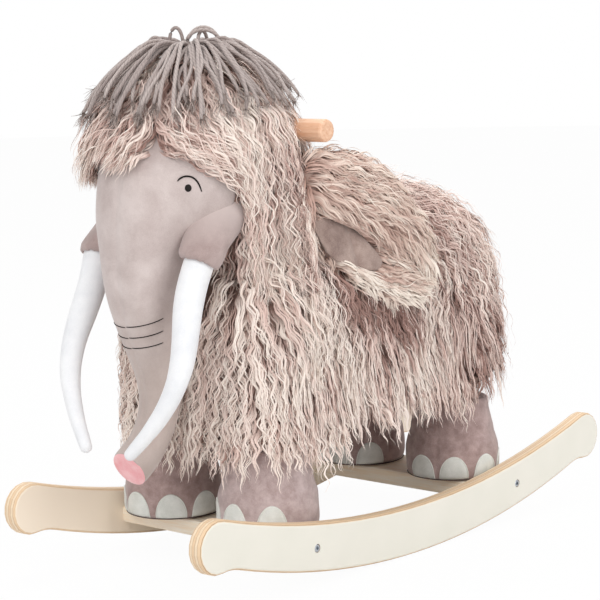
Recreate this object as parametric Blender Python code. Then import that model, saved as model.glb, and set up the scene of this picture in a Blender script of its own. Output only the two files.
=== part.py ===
"""Rocking mammoth toy: a stuffed mammoth on a wooden frame that stands on two plywood rockers.

Metres, +Z up, -Y is the toy's front, +X its left side. The origin is on the floor under the middle.
"""

import math

import bmesh
import bpy
from mathutils import Vector

# Clearances
SEAM_GAP = 0.0003
HOLE_PLAY = 0.0004
KNUCKLE_PLAY = 0.0006
FILLING_GAP = 0.001
FUR_EDGE_GAP = 0.0015

# Rockers
ROCKER_SPAN = 0.300
ROCKER_PLY = 0.018
ROCKER_LENGTH = 0.740
ROCKER_DEPTH = 0.0556
ROCKER_RADIUS = 1.060
ROCKER_KNOB_RADIUS = 0.029
ROCKER_KNOB_INSET = 0.0191
ROCKER_NECK_RADIUS = 0.060
ROCKER_EDGE_ROUND = 0.0035

# Slats and what joins them to the rockers
SLAT_THICKNESS = 0.019
SLAT_WIDTH = 0.083
SLAT_HEIGHT = 0.034
SLAT_EDGE_ROUND = 0.003
SLAT_MIDDLE_Y = 0.1635
BOLT_SHANK_RADIUS = 0.003
BOLT_HEAD_RADIUS = 0.0045
BOLT_HEAD_LENGTH = 0.0050
BOLT_LENGTH = 0.060
BOLT_EDGE_MARGIN = 0.017
BOLT_HEX_RADIUS = 0.0024
BOLT_HEX_DEPTH = 0.0030
BARREL_NUT_RADIUS = 0.005
BARREL_NUT_LENGTH = 0.015
BARREL_NUT_INSET = 0.034
PIN_RADIUS = 0.004
PIN_LENGTH = 0.036
PIN_IN_ROCKER = 0.011
PIN_EDGE_MARGIN = 0.018

# Legs
FOOT_RADIUS = 0.0565
LEG_HEM_RADIUS = 0.0495
LEG_TOP_RADIUS = 0.043
FOOT_ROUND = 0.006
FRONT_LEG_Y = -0.180
REAR_LEG_Y = 0.160
LEG_X = 0.0725
POST_RADIUS = 0.017
POST_SCREW_RADIUS = 0.0022
POST_SCREW_HEAD_RADIUS = 0.0042
POST_SCREW_LENGTH = 0.050

# Inner frame
SEAT_BOARD_HEIGHT = 0.214
SEAT_BOARD_THICKNESS = 0.012
SEAT_BOARD_MARGIN = 0.008
BOARD_SCREW_LENGTH = 0.042
NECK_POST_Y = -0.134
NECK_POST_WIDTH = 0.042
NECK_POST_DEPTH = 0.044
NECK_POST_ABOVE_HANDLE = 0.022
NECK_SCREW_SPACING = 0.022
NECK_SCREW_LENGTH = 0.055

# Handle
HANDLE_LENGTH = 0.260
HANDLE_RADIUS = 0.0125
HANDLE_HEIGHT = 0.489
HANDLE_END_ROUND = 0.003
HANDLE_SCREW_BITE = 0.012

# Body
FUR_THICKNESS = 0.015
HEM_FRONT_HEIGHT = 0.116
HEM_REAR_HEIGHT = 0.150
BELLY_HEIGHT = 0.153
BELLY_PANEL_THICKNESS = 0.003
BODY_HALF_WIDTH = 0.128
BODY_MIDDLE_Y = 0.042
BODY_FRONT_REACH = 0.278
BODY_REAR_REACH = 0.226
BODY_FRONT_SQUARENESS = 8.0
BODY_REAR_SQUARENESS = 3.4
BODY_WIDEST_HEIGHT = 0.240
BODY_TOP_HEIGHT = 0.413

# Head
HEAD_CENTRE = Vector((0.0, -0.205, 0.450))
HEAD_HALF_WIDTH = 0.106
HEAD_HALF_DEPTH = 0.118
HEAD_HALF_HEIGHT = 0.128

# Face and trunk: middle y, height, half width and half depth, from the hairline to the tip
TRUNK_STATIONS = (
    (-0.247, 0.480, 0.062, 0.050),
    (-0.254, 0.462, 0.076, 0.066),
    (-0.256, 0.433, 0.074, 0.068),
    (-0.268, 0.400, 0.056, 0.062),
    (-0.277, 0.365, 0.046, 0.053),
    (-0.284, 0.330, 0.037, 0.045),
    (-0.284, 0.290, 0.029, 0.036),
    (-0.273, 0.250, 0.025, 0.030),
    (-0.268, 0.215, 0.023, 0.026),
    (-0.273, 0.184, 0.022, 0.023),
    (-0.292, 0.153, 0.0215, 0.0215),
    (-0.320, 0.135, 0.0215, 0.0215),
)
TRUNK_TIP_SLOPE = math.radians(29)
TRUNK_TIP_RIM = 0.004
TRUNK_DISC_THICKNESS = 0.0025
KNUCKLE_Y = -0.273
KNUCKLE_HEIGHT = 0.250
KNUCKLE_RADIUS = 0.035

# Cheeks and tusks, left side
CHEEK_PATH = (Vector((0.050, -0.232, 0.424)), Vector((0.066, -0.262, 0.394)))
CHEEK_RADII = (0.036, 0.031, 0.0205)
TUSK_POINTS = (
    Vector((0.0755, -0.282, 0.358)),
    Vector((0.064, -0.316, 0.278)),
    Vector((0.120, -0.318, 0.255)),
    Vector((0.034, -0.350, 0.161)),
)
TUSK_ROOT_RADIUS = 0.0165
TUSK_TIP_RADIUS = 0.0068
TUSK_SEAT_DEPTH = 0.012

# Ears, left side
EAR_HINGE_X = 0.1145
EAR_HINGE_HEIGHT = 0.452
EAR_RIDGE_RADIUS = 0.013
EAR_LEAN = 0.175
EAR_THICKNESS = 0.012
EAR_LINING_THICKNESS = 0.003
EAR_LINING_MARGIN = 0.017
EAR_LINING_FRONT_Y = -0.150
EAR_LINING_REAR_Y = -0.035
# y, top and bottom of the ear's outline
EAR_OUTLINE = (
    (-0.168, 0.446, 0.392),
    (-0.150, 0.465, 0.362),
    (-0.115, 0.465, 0.332),
    (-0.070, 0.457, 0.306),
    (-0.024, 0.432, 0.287),
    (0.014, 0.386, 0.284),
    (0.034, 0.342, 0.303),
)

# Forelock and tail
FORELOCK_THICKNESS = 0.013
FORELOCK_EDGE_HEIGHT = 0.517
TUFT_RADIUS = 0.020
TUFT_HEIGHT = 0.600
TAIL_ROOT_HEIGHT = 0.345
TAIL_LENGTH = 0.130
TAIL_ROOT_RADIUS = 0.010
TAIL_END_RADIUS = 0.014
TAIL_LEAN = math.radians(12)

SLAT_TOP = SLAT_HEIGHT + SLAT_THICKNESS
SLAT_MIDDLE_HEIGHT = SLAT_HEIGHT + SLAT_THICKNESS / 2
ROCKER_INNER_X = ROCKER_SPAN / 2 - ROCKER_PLY
SLAT_END_X = ROCKER_INNER_X - SEAM_GAP
POST_TOP = SEAT_BOARD_HEIGHT - SEAM_GAP
BOARD_TOP = SEAT_BOARD_HEIGHT + SEAT_BOARD_THICKNESS
BELLY_UNDERSIDE = BELLY_HEIGHT - SEAM_GAP - BELLY_PANEL_THICKNESS
LEG_CORNERS = (
    ("front_left", 1, FRONT_LEG_Y, -1),
    ("front_right", -1, FRONT_LEG_Y, -1),
    ("rear_left", 1, REAR_LEG_Y, 1),
    ("rear_right", -1, REAR_LEG_Y, 1),
)


def material(name, colour, roughness, metallic=0.0):
    made = bpy.data.materials.new(name)
    made.use_nodes = True
    shader = made.node_tree.nodes["Principled BSDF"]
    shader.inputs["Base Color"].default_value = (*colour, 1.0)
    shader.inputs["Roughness"].default_value = roughness
    shader.inputs["Metallic"].default_value = metallic
    return made


def make(name, shape, finish, smooth=True):
    """Turns a bmesh into an object with its material."""
    bmesh.ops.recalc_face_normals(shape, faces=shape.faces)
    mesh = bpy.data.meshes.new(name)
    shape.to_mesh(mesh)
    shape.free()
    if smooth:
        mesh.shade_smooth()
        mesh.set_sharp_from_angle(angle=math.radians(35))
    made = bpy.data.objects.new(name, mesh)
    bpy.context.scene.collection.objects.link(made)
    if finish:
        mesh.materials.append(finish)
    return made


def cut(target, *cutters, operation="DIFFERENCE"):
    """Cuts the target with each cutter, which stays in the file as a hidden wire shape."""
    for cutter in cutters:
        cutter.hide_render = True
        cutter.display_type = "WIRE"
        modifier = target.modifiers.new(cutter.name, "BOOLEAN")
        modifier.operation = operation
        modifier.solver = "EXACT"
        modifier.object = cutter
    return target


def set_origin(made, place):
    """Moves an object's origin to a point and leaves its shape where it is."""
    made.data.transform(made.matrix_world.inverted())
    for vertex in made.data.vertices:
        vertex.co -= place
    made.location = place


def add_loft(shape, rings):
    """Adds a closed skin over rings of points, the first and last ring being its flat ends."""
    rows = [[shape.verts.new(point) for point in ring] for ring in rings]
    count = len(rows[0])
    for low, high in zip(rows, rows[1:]):
        for k in range(count):
            after = (k + 1) % count
            shape.faces.new((low[k], low[after], high[after], high[k]))
    shape.faces.new(reversed(rows[0]))
    shape.faces.new(rows[-1])


def loft(rings):
    shape = bmesh.new()
    add_loft(shape, rings)
    return shape


def add_rod(shape, start, end, radii, sides=20):
    """Adds a turned rod: radii are (distance along, radius) pairs."""
    axis = (end - start).normalized()
    across = axis.orthogonal().normalized()
    other = axis.cross(across)
    rings = []
    for along, radius in radii:
        middle = start + axis * along
        rings.append([
            middle + radius * (math.cos(turn) * across + math.sin(turn) * other)
            for turn in (2 * math.pi * k / sides for k in range(sides))
        ])
    add_loft(shape, rings)


def rod(start, end, radius, sides=20):
    shape = bmesh.new()
    add_rod(shape, start, end, ((0, radius), ((end - start).length, radius)), sides)
    return shape


def box(low, high):
    shape = bmesh.new()
    corners = [(low[0], low[1]), (high[0], low[1]), (high[0], high[1]), (low[0], high[1])]
    add_loft(shape, [[Vector((x, y, z)) for x, y in corners] for z in (low[2], high[2])])
    return shape


def extrude_x(outline, low_x, high_x):
    """Extrudes a (y, z) outline along X."""
    return loft([[Vector((x, y, z)) for y, z in outline] for x in (low_x, high_x)])


def mirrored(points):
    return [Vector((-point.x, point.y, point.z)) for point in points]


def arc(centre, radius, start, end, count):
    """Points on a circle in the (y, z) plane, angles measured from +y towards +z."""
    return [
        (centre[0] + radius * math.cos(turn), centre[1] + radius * math.sin(turn))
        for turn in (start + (end - start) * k / count for k in range(count + 1))
    ]


def rocker_outline():
    """Bottom arc, concave necks, round knobs and a top arc that meets the knobs without a corner."""
    knob_y = ROCKER_LENGTH / 2 - ROCKER_KNOB_RADIUS
    knob_z = ROCKER_RADIUS - math.sqrt((ROCKER_RADIUS - ROCKER_KNOB_INSET) ** 2 - knob_y**2)
    rise = ROCKER_DEPTH - knob_z
    top_radius = (knob_y**2 + rise**2 - ROCKER_KNOB_RADIUS**2) / (2 * (ROCKER_KNOB_RADIUS - rise))
    top_centre_z = ROCKER_DEPTH + top_radius
    far = ROCKER_RADIUS + ROCKER_NECK_RADIUS
    near = ROCKER_KNOB_RADIUS + ROCKER_NECK_RADIUS
    knob_away = ROCKER_RADIUS - ROCKER_KNOB_INSET
    spread = math.acos((far**2 + knob_away**2 - near**2) / (2 * far * knob_away))
    knob_turn = math.asin(knob_y / knob_away)
    neck_turn = knob_turn - spread
    neck_y = far * math.sin(neck_turn)
    neck_z = ROCKER_RADIUS - far * math.cos(neck_turn)
    half = []
    steps = 13
    step = 2 * neck_turn / (2 * steps + 1)
    for k in range(steps + 1):
        turn = step * (k + 0.5)
        half.append((ROCKER_RADIUS * math.sin(turn), ROCKER_RADIUS * (math.cos(step / 2) - math.cos(turn))))
    start = math.atan2(ROCKER_RADIUS - neck_z, -neck_y)
    end = math.atan2(knob_z - neck_z, knob_y - neck_y)
    half += arc((neck_y, neck_z), ROCKER_NECK_RADIUS, start, end, 4)[1:]
    start = math.atan2(neck_z - knob_z, neck_y - knob_y)
    end = math.atan2(top_centre_z - knob_z, -knob_y)
    half += arc((knob_y, knob_z), ROCKER_KNOB_RADIUS, start, end, 11)[1:]
    start = math.atan2(knob_z - top_centre_z, knob_y)
    half += arc((0, top_centre_z), top_radius, start, -math.pi / 2, 12)[1:]
    return half + [(-y, z) for y, z in reversed(half[:-1])]


def torso_rings(grow, low, low_rear=None):
    """Loaf of a body: boxy at the front, where it goes round the legs, and rounder behind and on top.

    Its lower edge rises in a straight line from low at the front to low_rear at the rear.
    """
    half_width = BODY_HALF_WIDTH + grow
    front = BODY_FRONT_REACH + grow
    rear = BODY_REAR_REACH + grow
    rise = BODY_TOP_HEIGHT + grow - BODY_WIDEST_HEIGHT
    slope = ((low_rear or low) - low) / (BODY_FRONT_REACH + BODY_REAR_REACH)
    levels = [(k / 3, 0.0) for k in range(3)]
    levels += [(1.0, math.radians(degrees)) for degrees in (0, 16, 32, 47, 61, 74, 84)]
    rings = []
    for share, turn in levels:
        wide = math.cos(turn) ** 0.85
        long = math.cos(turn) ** 0.55
        roundness = math.sin(turn)
        height = BODY_WIDEST_HEIGHT + rise * math.sin(turn) ** 0.667
        ring = []
        for k in range(32):
            around = 2 * math.pi * (k + 0.5) / 32
            c, s = math.cos(around), math.sin(around)
            squareness = BODY_REAR_SQUARENESS if s > 0 else BODY_FRONT_SQUARENESS
            squareness += (2.4 - squareness) * roundness
            x = half_width * wide * math.copysign(abs(c) ** (2 / squareness), c)
            reach = (rear if s > 0 else front) * long
            y = BODY_MIDDLE_Y + reach * math.copysign(abs(s) ** (2 / squareness), s)
            edge = low + slope * (y - BODY_MIDDLE_Y + BODY_FRONT_REACH)
            ring.append(Vector((x, y, height if turn else edge + (BODY_WIDEST_HEIGHT - edge) * share)))
        rings.append(ring)
    return rings


def torso_rear_y(height):
    """Where the body's outer surface ends behind, on its middle plane."""
    sine = ((height - BODY_WIDEST_HEIGHT) / (BODY_TOP_HEIGHT - BODY_WIDEST_HEIGHT)) ** 1.5
    return BODY_MIDDLE_Y + BODY_REAR_REACH * math.sqrt(1 - sine**2) ** 0.55


def head_shape(grow):
    """Egg-shaped head, grown by the given amount."""
    shape = bmesh.new()
    bmesh.ops.create_uvsphere(shape, u_segments=24, v_segments=14, radius=1.0)
    for vertex in shape.verts:
        vertex.co.x *= HEAD_HALF_WIDTH + grow
        vertex.co.y *= HEAD_HALF_DEPTH + grow
        vertex.co.z *= HEAD_HALF_HEIGHT + grow
        vertex.co += HEAD_CENTRE
    return shape


def trunk_path():
    """Middle points, directions and half sizes of the face and trunk, from hairline to tip."""
    middles = [Vector((0, y, z)) for y, z, _, _ in TRUNK_STATIONS]
    directions = []
    for k in range(len(middles)):
        if k < 6:
            directions.append(Vector((0, 0, -1)))
        else:
            ahead = middles[min(k + 1, len(middles) - 1)]
            directions.append((ahead - middles[k - 1]).normalized())
    directions[-1] = Vector((0, -math.cos(TRUNK_TIP_SLOPE), -math.sin(TRUNK_TIP_SLOPE)))
    return middles, directions


def trunk_rings(grow, first=0, top_grow=0.0):
    middles, directions = trunk_path()
    rings = []
    for k in range(first, len(middles)):
        _, _, wide, deep = TRUNK_STATIONS[k]
        forward = directions[k].cross(Vector((1, 0, 0)))
        middle = middles[k].copy()
        if k == 0:
            middle.z += top_grow
        rings.append([
            middle
            + (wide + grow) * math.cos(turn) * Vector((1, 0, 0))
            + (deep + grow) * math.sin(turn) * forward
            for turn in (2 * math.pi * n / 20 for n in range(20))
        ])
    return rings


def tusk_middle(t):
    a, b, c, d = TUSK_POINTS
    return (1 - t) ** 3 * a + 3 * t * (1 - t) ** 2 * b + 3 * t**2 * (1 - t) * c + t**3 * d


def tusk_rings(grow=0.0, whole=True):
    """The tusk from the bottom of its socket to its round tip."""
    root, bend = TUSK_POINTS[0], TUSK_POINTS[1]
    axis = (bend - root).normalized()
    stations = [(root - axis * TUSK_SEAT_DEPTH, axis, TUSK_ROOT_RADIUS)]
    count = 9 if whole else 0
    for k in range(count + 1):
        t = k / 9
        along = (tusk_middle(min(t + 0.01, 1)) - tusk_middle(max(t - 0.01, 0))).normalized()
        radius = TUSK_ROOT_RADIUS + (TUSK_TIP_RADIUS - TUSK_ROOT_RADIUS) * (0.35 * t + 0.65 * t * t)
        stations.append((tusk_middle(t), along, radius))
    if whole:
        tip, along, radius = stations[-1]
        for out, share in ((0.5, 0.87), (0.85, 0.5), (0.98, 0.15)):
            stations.append((tip + along * radius * out, along, radius * share))
    else:
        stations[-1] = (root + axis * TUSK_SEAT_DEPTH, axis, TUSK_ROOT_RADIUS)
        stations[0] = (root - axis * (TUSK_SEAT_DEPTH + grow), axis, TUSK_ROOT_RADIUS)
    rings = []
    for middle, along, radius in stations:
        across = along.cross(Vector((1, 0, 0))).normalized()
        other = along.cross(across)
        rings.append([
            middle + (radius + grow) * (math.cos(turn) * across + math.sin(turn) * other)
            for turn in (2 * math.pi * n / 12 for n in range(12))
        ])
    return rings


def cheek_rings(grow=0.0):
    """Sleeve that starts inside the head and ends at the tusk's root."""
    axis = (TUSK_POINTS[1] - TUSK_POINTS[0]).normalized()
    rim = TUSK_POINTS[0] + axis * grow
    start, middle = CHEEK_PATH
    stations = (
        (start, (middle - start).normalized(), CHEEK_RADII[0]),
        (middle, (rim - start).normalized(), CHEEK_RADII[1]),
        ((middle + 2 * rim) / 3, axis, (CHEEK_RADII[1] + 2 * CHEEK_RADII[2]) / 3 + 0.001),
        (rim, axis, CHEEK_RADII[2]),
    )
    rings = []
    for place, along, radius in stations:
        across = along.cross(Vector((1, 0, 0))).normalized()
        other = along.cross(across)
        rings.append([
            place + (radius + grow) * (math.cos(turn) * across + math.sin(turn) * other)
            for turn in (2 * math.pi * n / 16 for n in range(16))
        ])
    return rings


def ear_inner_x(z):
    """The ear's inner face leans outwards below the hinge, to pass over the body's side."""
    return EAR_HINGE_X - EAR_RIDGE_RADIUS + EAR_LEAN * (EAR_HINGE_HEIGHT - z)


def ear_rings():
    """Ear with a fat rolled ridge along its upper edge, which turns about the hinge line."""
    rings = []
    for y, top, bottom in EAR_OUTLINE:
        tall = top - bottom
        ridge = min(EAR_RIDGE_RADIUS, tall * 0.25)
        ridge_z = top - ridge
        ring = []
        for k in range(9):
            turn = math.pi - math.pi * k / 8
            middle_x = ear_inner_x(ridge_z) + ridge
            ring.append(Vector((middle_x + ridge * math.cos(turn), y, ridge_z + ridge * math.sin(turn))))
        flap_z = bottom + tall * 0.50
        outer = ear_inner_x(flap_z)
        ring.append(Vector((outer + 2 * ridge, y, flap_z + tall * 0.10)))
        ring.append(Vector((outer + 1.7 * ridge, y, flap_z + tall * 0.02)))
        ring.append(Vector((outer + EAR_THICKNESS, y, flap_z - tall * 0.03)))
        low_z = bottom + EAR_THICKNESS / 2
        outer = ear_inner_x(low_z)
        ring.append(Vector((outer + EAR_THICKNESS, y, low_z)))
        ring.append(Vector((outer + EAR_THICKNESS * 0.75, y, bottom + EAR_THICKNESS * 0.1)))
        ring.append(Vector((outer + EAR_THICKNESS * 0.25, y, bottom + EAR_THICKNESS * 0.1)))
        ring.append(Vector((outer, y, low_z)))
        rings.append(ring)
    return rings


def ear_height(y, column):
    """Top or bottom of the ear's outline at y, read between its points."""
    for (y0, *low), (y1, *high) in zip(EAR_OUTLINE, EAR_OUTLINE[1:]):
        if y0 <= y <= y1:
            share = (y - y0) / (y1 - y0)
            return low[column] + (high[column] - low[column]) * share
    return EAR_OUTLINE[-1][1 + column]


def lining_rings():
    """Velour leaf on the outer side of the ear, below the rolled ridge."""
    rings = []
    for k in range(9):
        share = k / 8
        y = EAR_LINING_FRONT_Y + (EAR_LINING_REAR_Y - EAR_LINING_FRONT_Y) * share
        top, bottom = ear_height(y, 0), ear_height(y, 1)
        high = bottom + (top - bottom) * 0.455
        fall = EAR_LINING_MARGIN + (high - bottom - EAR_LINING_MARGIN) * 0.85 * abs(2 * share - 1) ** 3
        low = bottom + fall
        ring = []
        for z, out in ((high, 0), (high, 1), (low, 1), (low, 0)):
            x = ear_inner_x(z) + EAR_THICKNESS + SEAM_GAP + EAR_LINING_THICKNESS * out
            ring.append(Vector((x, y, z)))
        rings.append(ring)
    return rings


def clear_scene():
    for old in list(bpy.data.objects):
        bpy.data.objects.remove(old, do_unlink=True)


def make_materials():
    return {
        "painted_ply": material("painted_ply", (0.80, 0.78, 0.70), 0.45),
        "beech": material("beech", (0.72, 0.49, 0.31), 0.50),
        "hidden_wood": material("hidden_wood", (0.62, 0.47, 0.30), 0.60),
        "steel": material("steel", (0.60, 0.60, 0.60), 0.35, 1.0),
        "leg_velour": material("leg_velour", (0.32, 0.24, 0.23), 0.90),
        "face_velour": material("face_velour", (0.56, 0.48, 0.44), 0.90),
        "fur": material("fur", (0.60, 0.49, 0.43), 0.95),
        "filling": material("filling", (0.85, 0.85, 0.85), 1.00),
        "lining_velour": material("lining_velour", (0.40, 0.32, 0.30), 0.90),
        "white_plush": material("white_plush", (0.86, 0.86, 0.88), 0.90),
        "pink_felt": material("pink_felt", (0.88, 0.40, 0.42), 0.90),
        "yarn": material("yarn", (0.36, 0.32, 0.31), 0.95),
    }


def slat_end_rods(name, radius, first_x, last_x, y):
    """Cutter with one rod at each end of a slat, along X."""
    shape = bmesh.new()
    for side in (-1, 1):
        start = Vector((side * first_x, y, SLAT_MIDDLE_HEIGHT))
        end = Vector((side * last_x, y, SLAT_MIDDLE_HEIGHT))
        length = abs(last_x - first_x)
        add_rod(shape, start, end, ((0, radius), (length, radius)), 12)
    return make(name, shape, None)


def bolt_y(end):
    return end * (SLAT_MIDDLE_Y + SLAT_WIDTH / 2 - BOLT_EDGE_MARGIN)


def pin_y(end):
    return end * (SLAT_MIDDLE_Y - SLAT_WIDTH / 2 + PIN_EDGE_MARGIN)


def make_rockers(finishes):
    for name, side in (("rocker_left", 1), ("rocker_right", -1)):
        inner, outer = side * ROCKER_INNER_X, side * ROCKER_SPAN / 2
        rocker = make(name, extrude_x(rocker_outline(), inner, outer), finishes["painted_ply"])
        bevel = rocker.modifiers.new("edge_round", "BEVEL")
        bevel.width = ROCKER_EDGE_ROUND
        bevel.segments = 2
        bevel.limit_method = "ANGLE"
        bevel.angle_limit = math.radians(60)
        for end, where in ((-1, "front"), (1, "rear")):
            y = bolt_y(end)
            hole = bmesh.new()
            head_seat = ROCKER_SPAN / 2 - BOLT_HEAD_LENGTH - 2 * SEAM_GAP
            steps = (
                (0, BOLT_SHANK_RADIUS + HOLE_PLAY),
                (head_seat - ROCKER_INNER_X + ROCKER_PLY, BOLT_SHANK_RADIUS + HOLE_PLAY),
                (head_seat - ROCKER_INNER_X + ROCKER_PLY, BOLT_HEAD_RADIUS + HOLE_PLAY),
                (3 * ROCKER_PLY, BOLT_HEAD_RADIUS + HOLE_PLAY),
            )
            start = Vector((side * (ROCKER_INNER_X - ROCKER_PLY), y, SLAT_MIDDLE_HEIGHT))
            end_point = start + Vector((side, 0, 0))
            add_rod(hole, start, end_point, steps, 12)
            pin_hole = rod(
                Vector((side * (ROCKER_INNER_X - ROCKER_PLY), pin_y(end), SLAT_MIDDLE_HEIGHT)),
                Vector((side * (ROCKER_INNER_X + PIN_IN_ROCKER + SEAM_GAP), pin_y(end), SLAT_MIDDLE_HEIGHT)),
                PIN_RADIUS + HOLE_PLAY,
                12,
            )
            cut(
                rocker,
                make(f"{name}_{where}_bolt_hole", hole, None),
                make(f"{name}_{where}_pin_hole", pin_hole, None),
            )


def make_slats(finishes):
    nut_x = ROCKER_INNER_X - BARREL_NUT_INSET
    for name, end, leg_y in (("front_slat", -1, FRONT_LEG_Y), ("rear_slat", 1, REAR_LEG_Y)):
        low_y = end * SLAT_MIDDLE_Y - SLAT_WIDTH / 2
        shape = box((-SLAT_END_X, low_y, SLAT_HEIGHT), (SLAT_END_X, low_y + SLAT_WIDTH, SLAT_TOP))
        long_edges = [
            edge for edge in shape.edges
            if abs(edge.verts[0].co.x - edge.verts[1].co.x) > SLAT_END_X
        ]
        bmesh.ops.bevel(
            shape, geom=long_edges, offset=SLAT_EDGE_ROUND, segments=2, profile=0.5, affect="EDGES"
        )
        slat = make(name, shape, finishes["beech"])
        bolt_end = ROCKER_SPAN / 2 - SEAM_GAP - BOLT_LENGTH
        cut(
            slat,
            slat_end_rods(
                f"{name}_bolt_holes", BOLT_SHANK_RADIUS + HOLE_PLAY,
                bolt_end - 0.004, ROCKER_INNER_X + ROCKER_PLY, bolt_y(end),
            ),
            slat_end_rods(
                f"{name}_pin_holes", PIN_RADIUS + HOLE_PLAY,
                ROCKER_INNER_X + PIN_IN_ROCKER - PIN_LENGTH - SEAM_GAP, ROCKER_INNER_X + ROCKER_PLY,
                pin_y(end),
            ),
        )
        nut_holes = bmesh.new()
        screw_holes = bmesh.new()
        for side in (-1, 1):
            low = Vector((side * nut_x, bolt_y(end), SLAT_HEIGHT - SLAT_THICKNESS))
            top = SLAT_MIDDLE_HEIGHT + BARREL_NUT_LENGTH / 2 + SEAM_GAP
            high = Vector((side * nut_x, bolt_y(end), top))
            radius = BARREL_NUT_RADIUS + HOLE_PLAY
            add_rod(nut_holes, low, high, ((0, radius), ((high - low).length, radius)), 12)
            low = Vector((side * LEG_X, leg_y, SLAT_HEIGHT - POST_SCREW_HEAD_RADIUS))
            wide = POST_SCREW_HEAD_RADIUS + HOLE_PLAY
            thin = POST_SCREW_RADIUS + HOLE_PLAY
            add_rod(screw_holes, low, low + Vector((0, 0, 1)), (
                (0, wide),
                (POST_SCREW_HEAD_RADIUS + SEAM_GAP, wide),
                (POST_SCREW_HEAD_RADIUS + SEAM_GAP + wide - thin, thin),
                (3 * SLAT_THICKNESS, thin),
            ), 12)
        cut(
            slat,
            make(f"{name}_nut_holes", nut_holes, None),
            make(f"{name}_screw_holes", screw_holes, None),
        )


def make_slat_hardware(finishes):
    for corner, side, _, end in LEG_CORNERS:
        y = bolt_y(end)
        outer = ROCKER_SPAN / 2 - SEAM_GAP
        head = Vector((side * outer, y, SLAT_MIDDLE_HEIGHT))
        shape = bmesh.new()
        add_rod(shape, head, head - Vector((side, 0, 0)), (
            (0, BOLT_HEAD_RADIUS - 0.0006),
            (0.0006, BOLT_HEAD_RADIUS),
            (BOLT_HEAD_LENGTH, BOLT_HEAD_RADIUS),
            (BOLT_HEAD_LENGTH, BOLT_SHANK_RADIUS),
            (BOLT_LENGTH, BOLT_SHANK_RADIUS),
        ), 12)
        bolt = make(f"rocker_bolt_{corner}", shape, finishes["steel"])
        socket = rod(
            head + Vector((side * BOLT_HEX_DEPTH, 0, 0)),
            head - Vector((side * BOLT_HEX_DEPTH, 0, 0)),
            BOLT_HEX_RADIUS, 6,
        )
        cut(bolt, make(f"rocker_bolt_{corner}_socket", socket, None))

        nut_x = side * (ROCKER_INNER_X - BARREL_NUT_INSET)
        low = Vector((nut_x, y, SLAT_MIDDLE_HEIGHT - BARREL_NUT_LENGTH / 2))
        high = Vector((nut_x, y, SLAT_MIDDLE_HEIGHT + BARREL_NUT_LENGTH / 2))
        nut = make(f"barrel_nut_{corner}", rod(low, high, BARREL_NUT_RADIUS, 12), finishes["steel"])
        reach = Vector((2 * BARREL_NUT_RADIUS, 0, 0))
        middle = (low + high) / 2
        thread = rod(middle - reach, middle + reach, BOLT_SHANK_RADIUS + HOLE_PLAY, 12)
        cut(nut, make(f"barrel_nut_{corner}_thread", thread, None))

        start = Vector((side * (ROCKER_INNER_X + PIN_IN_ROCKER), pin_y(end), SLAT_MIDDLE_HEIGHT))
        shape = bmesh.new()
        add_rod(shape, start, start - Vector((side, 0, 0)), (
            (0, PIN_RADIUS - 0.001),
            (0.001, PIN_RADIUS),
            (PIN_LENGTH - 0.001, PIN_RADIUS),
            (PIN_LENGTH, PIN_RADIUS - 0.001),
        ), 12)
        make(f"slat_pin_{corner}", shape, finishes["hidden_wood"])


def screw_shape(head, direction, length):
    """Countersunk wood screw from the middle of its head."""
    shape = bmesh.new()
    cone = POST_SCREW_HEAD_RADIUS - POST_SCREW_RADIUS
    add_rod(shape, head, head + direction, (
        (0, POST_SCREW_HEAD_RADIUS),
        (cone, POST_SCREW_RADIUS),
        (length - 0.004, POST_SCREW_RADIUS),
        (length, POST_SCREW_RADIUS * 0.3),
    ), 12)
    return shape


def screw_hole(head, direction, length):
    """Hole for a countersunk screw, open past its head and clear of its point."""
    shape = bmesh.new()
    wide = POST_SCREW_HEAD_RADIUS + HOLE_PLAY
    thin = POST_SCREW_RADIUS + HOLE_PLAY
    start = head - direction * POST_SCREW_HEAD_RADIUS
    add_rod(shape, start, start + direction, (
        (0, wide),
        (POST_SCREW_HEAD_RADIUS + SEAM_GAP, wide),
        (POST_SCREW_HEAD_RADIUS + SEAM_GAP + wide - thin, thin),
        (POST_SCREW_HEAD_RADIUS + length + 2 * SEAM_GAP, thin),
    ), 12)
    return shape


def leg_radii(tall, grow=0.0):
    """Profile of a stuffed leg, from its sole to where it meets the belly."""
    hem = HEM_FRONT_HEIGHT - SLAT_TOP - SEAM_GAP
    return (
        (0, FOOT_RADIUS - FOOT_ROUND + grow),
        (FOOT_ROUND * 0.3, FOOT_RADIUS - FOOT_ROUND * 0.25 + grow),
        (FOOT_ROUND, FOOT_RADIUS + grow),
        (hem * 0.65, FOOT_RADIUS + grow),
        (hem, LEG_HEM_RADIUS + grow),
        (tall, LEG_TOP_RADIUS + grow),
    )


def leg_rooms(name):
    """Room for the tops of the four legs inside the fur's hem."""
    foot = SLAT_TOP + SEAM_GAP
    top = BELLY_UNDERSIDE
    shape = bmesh.new()
    for _, side, y, _ in LEG_CORNERS:
        low, high = Vector((side * LEG_X, y, foot)), Vector((side * LEG_X, y, top))
        add_rod(shape, low, high, leg_radii(top - foot, SEAM_GAP), 24)
    return make(name, shape, None)


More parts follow.
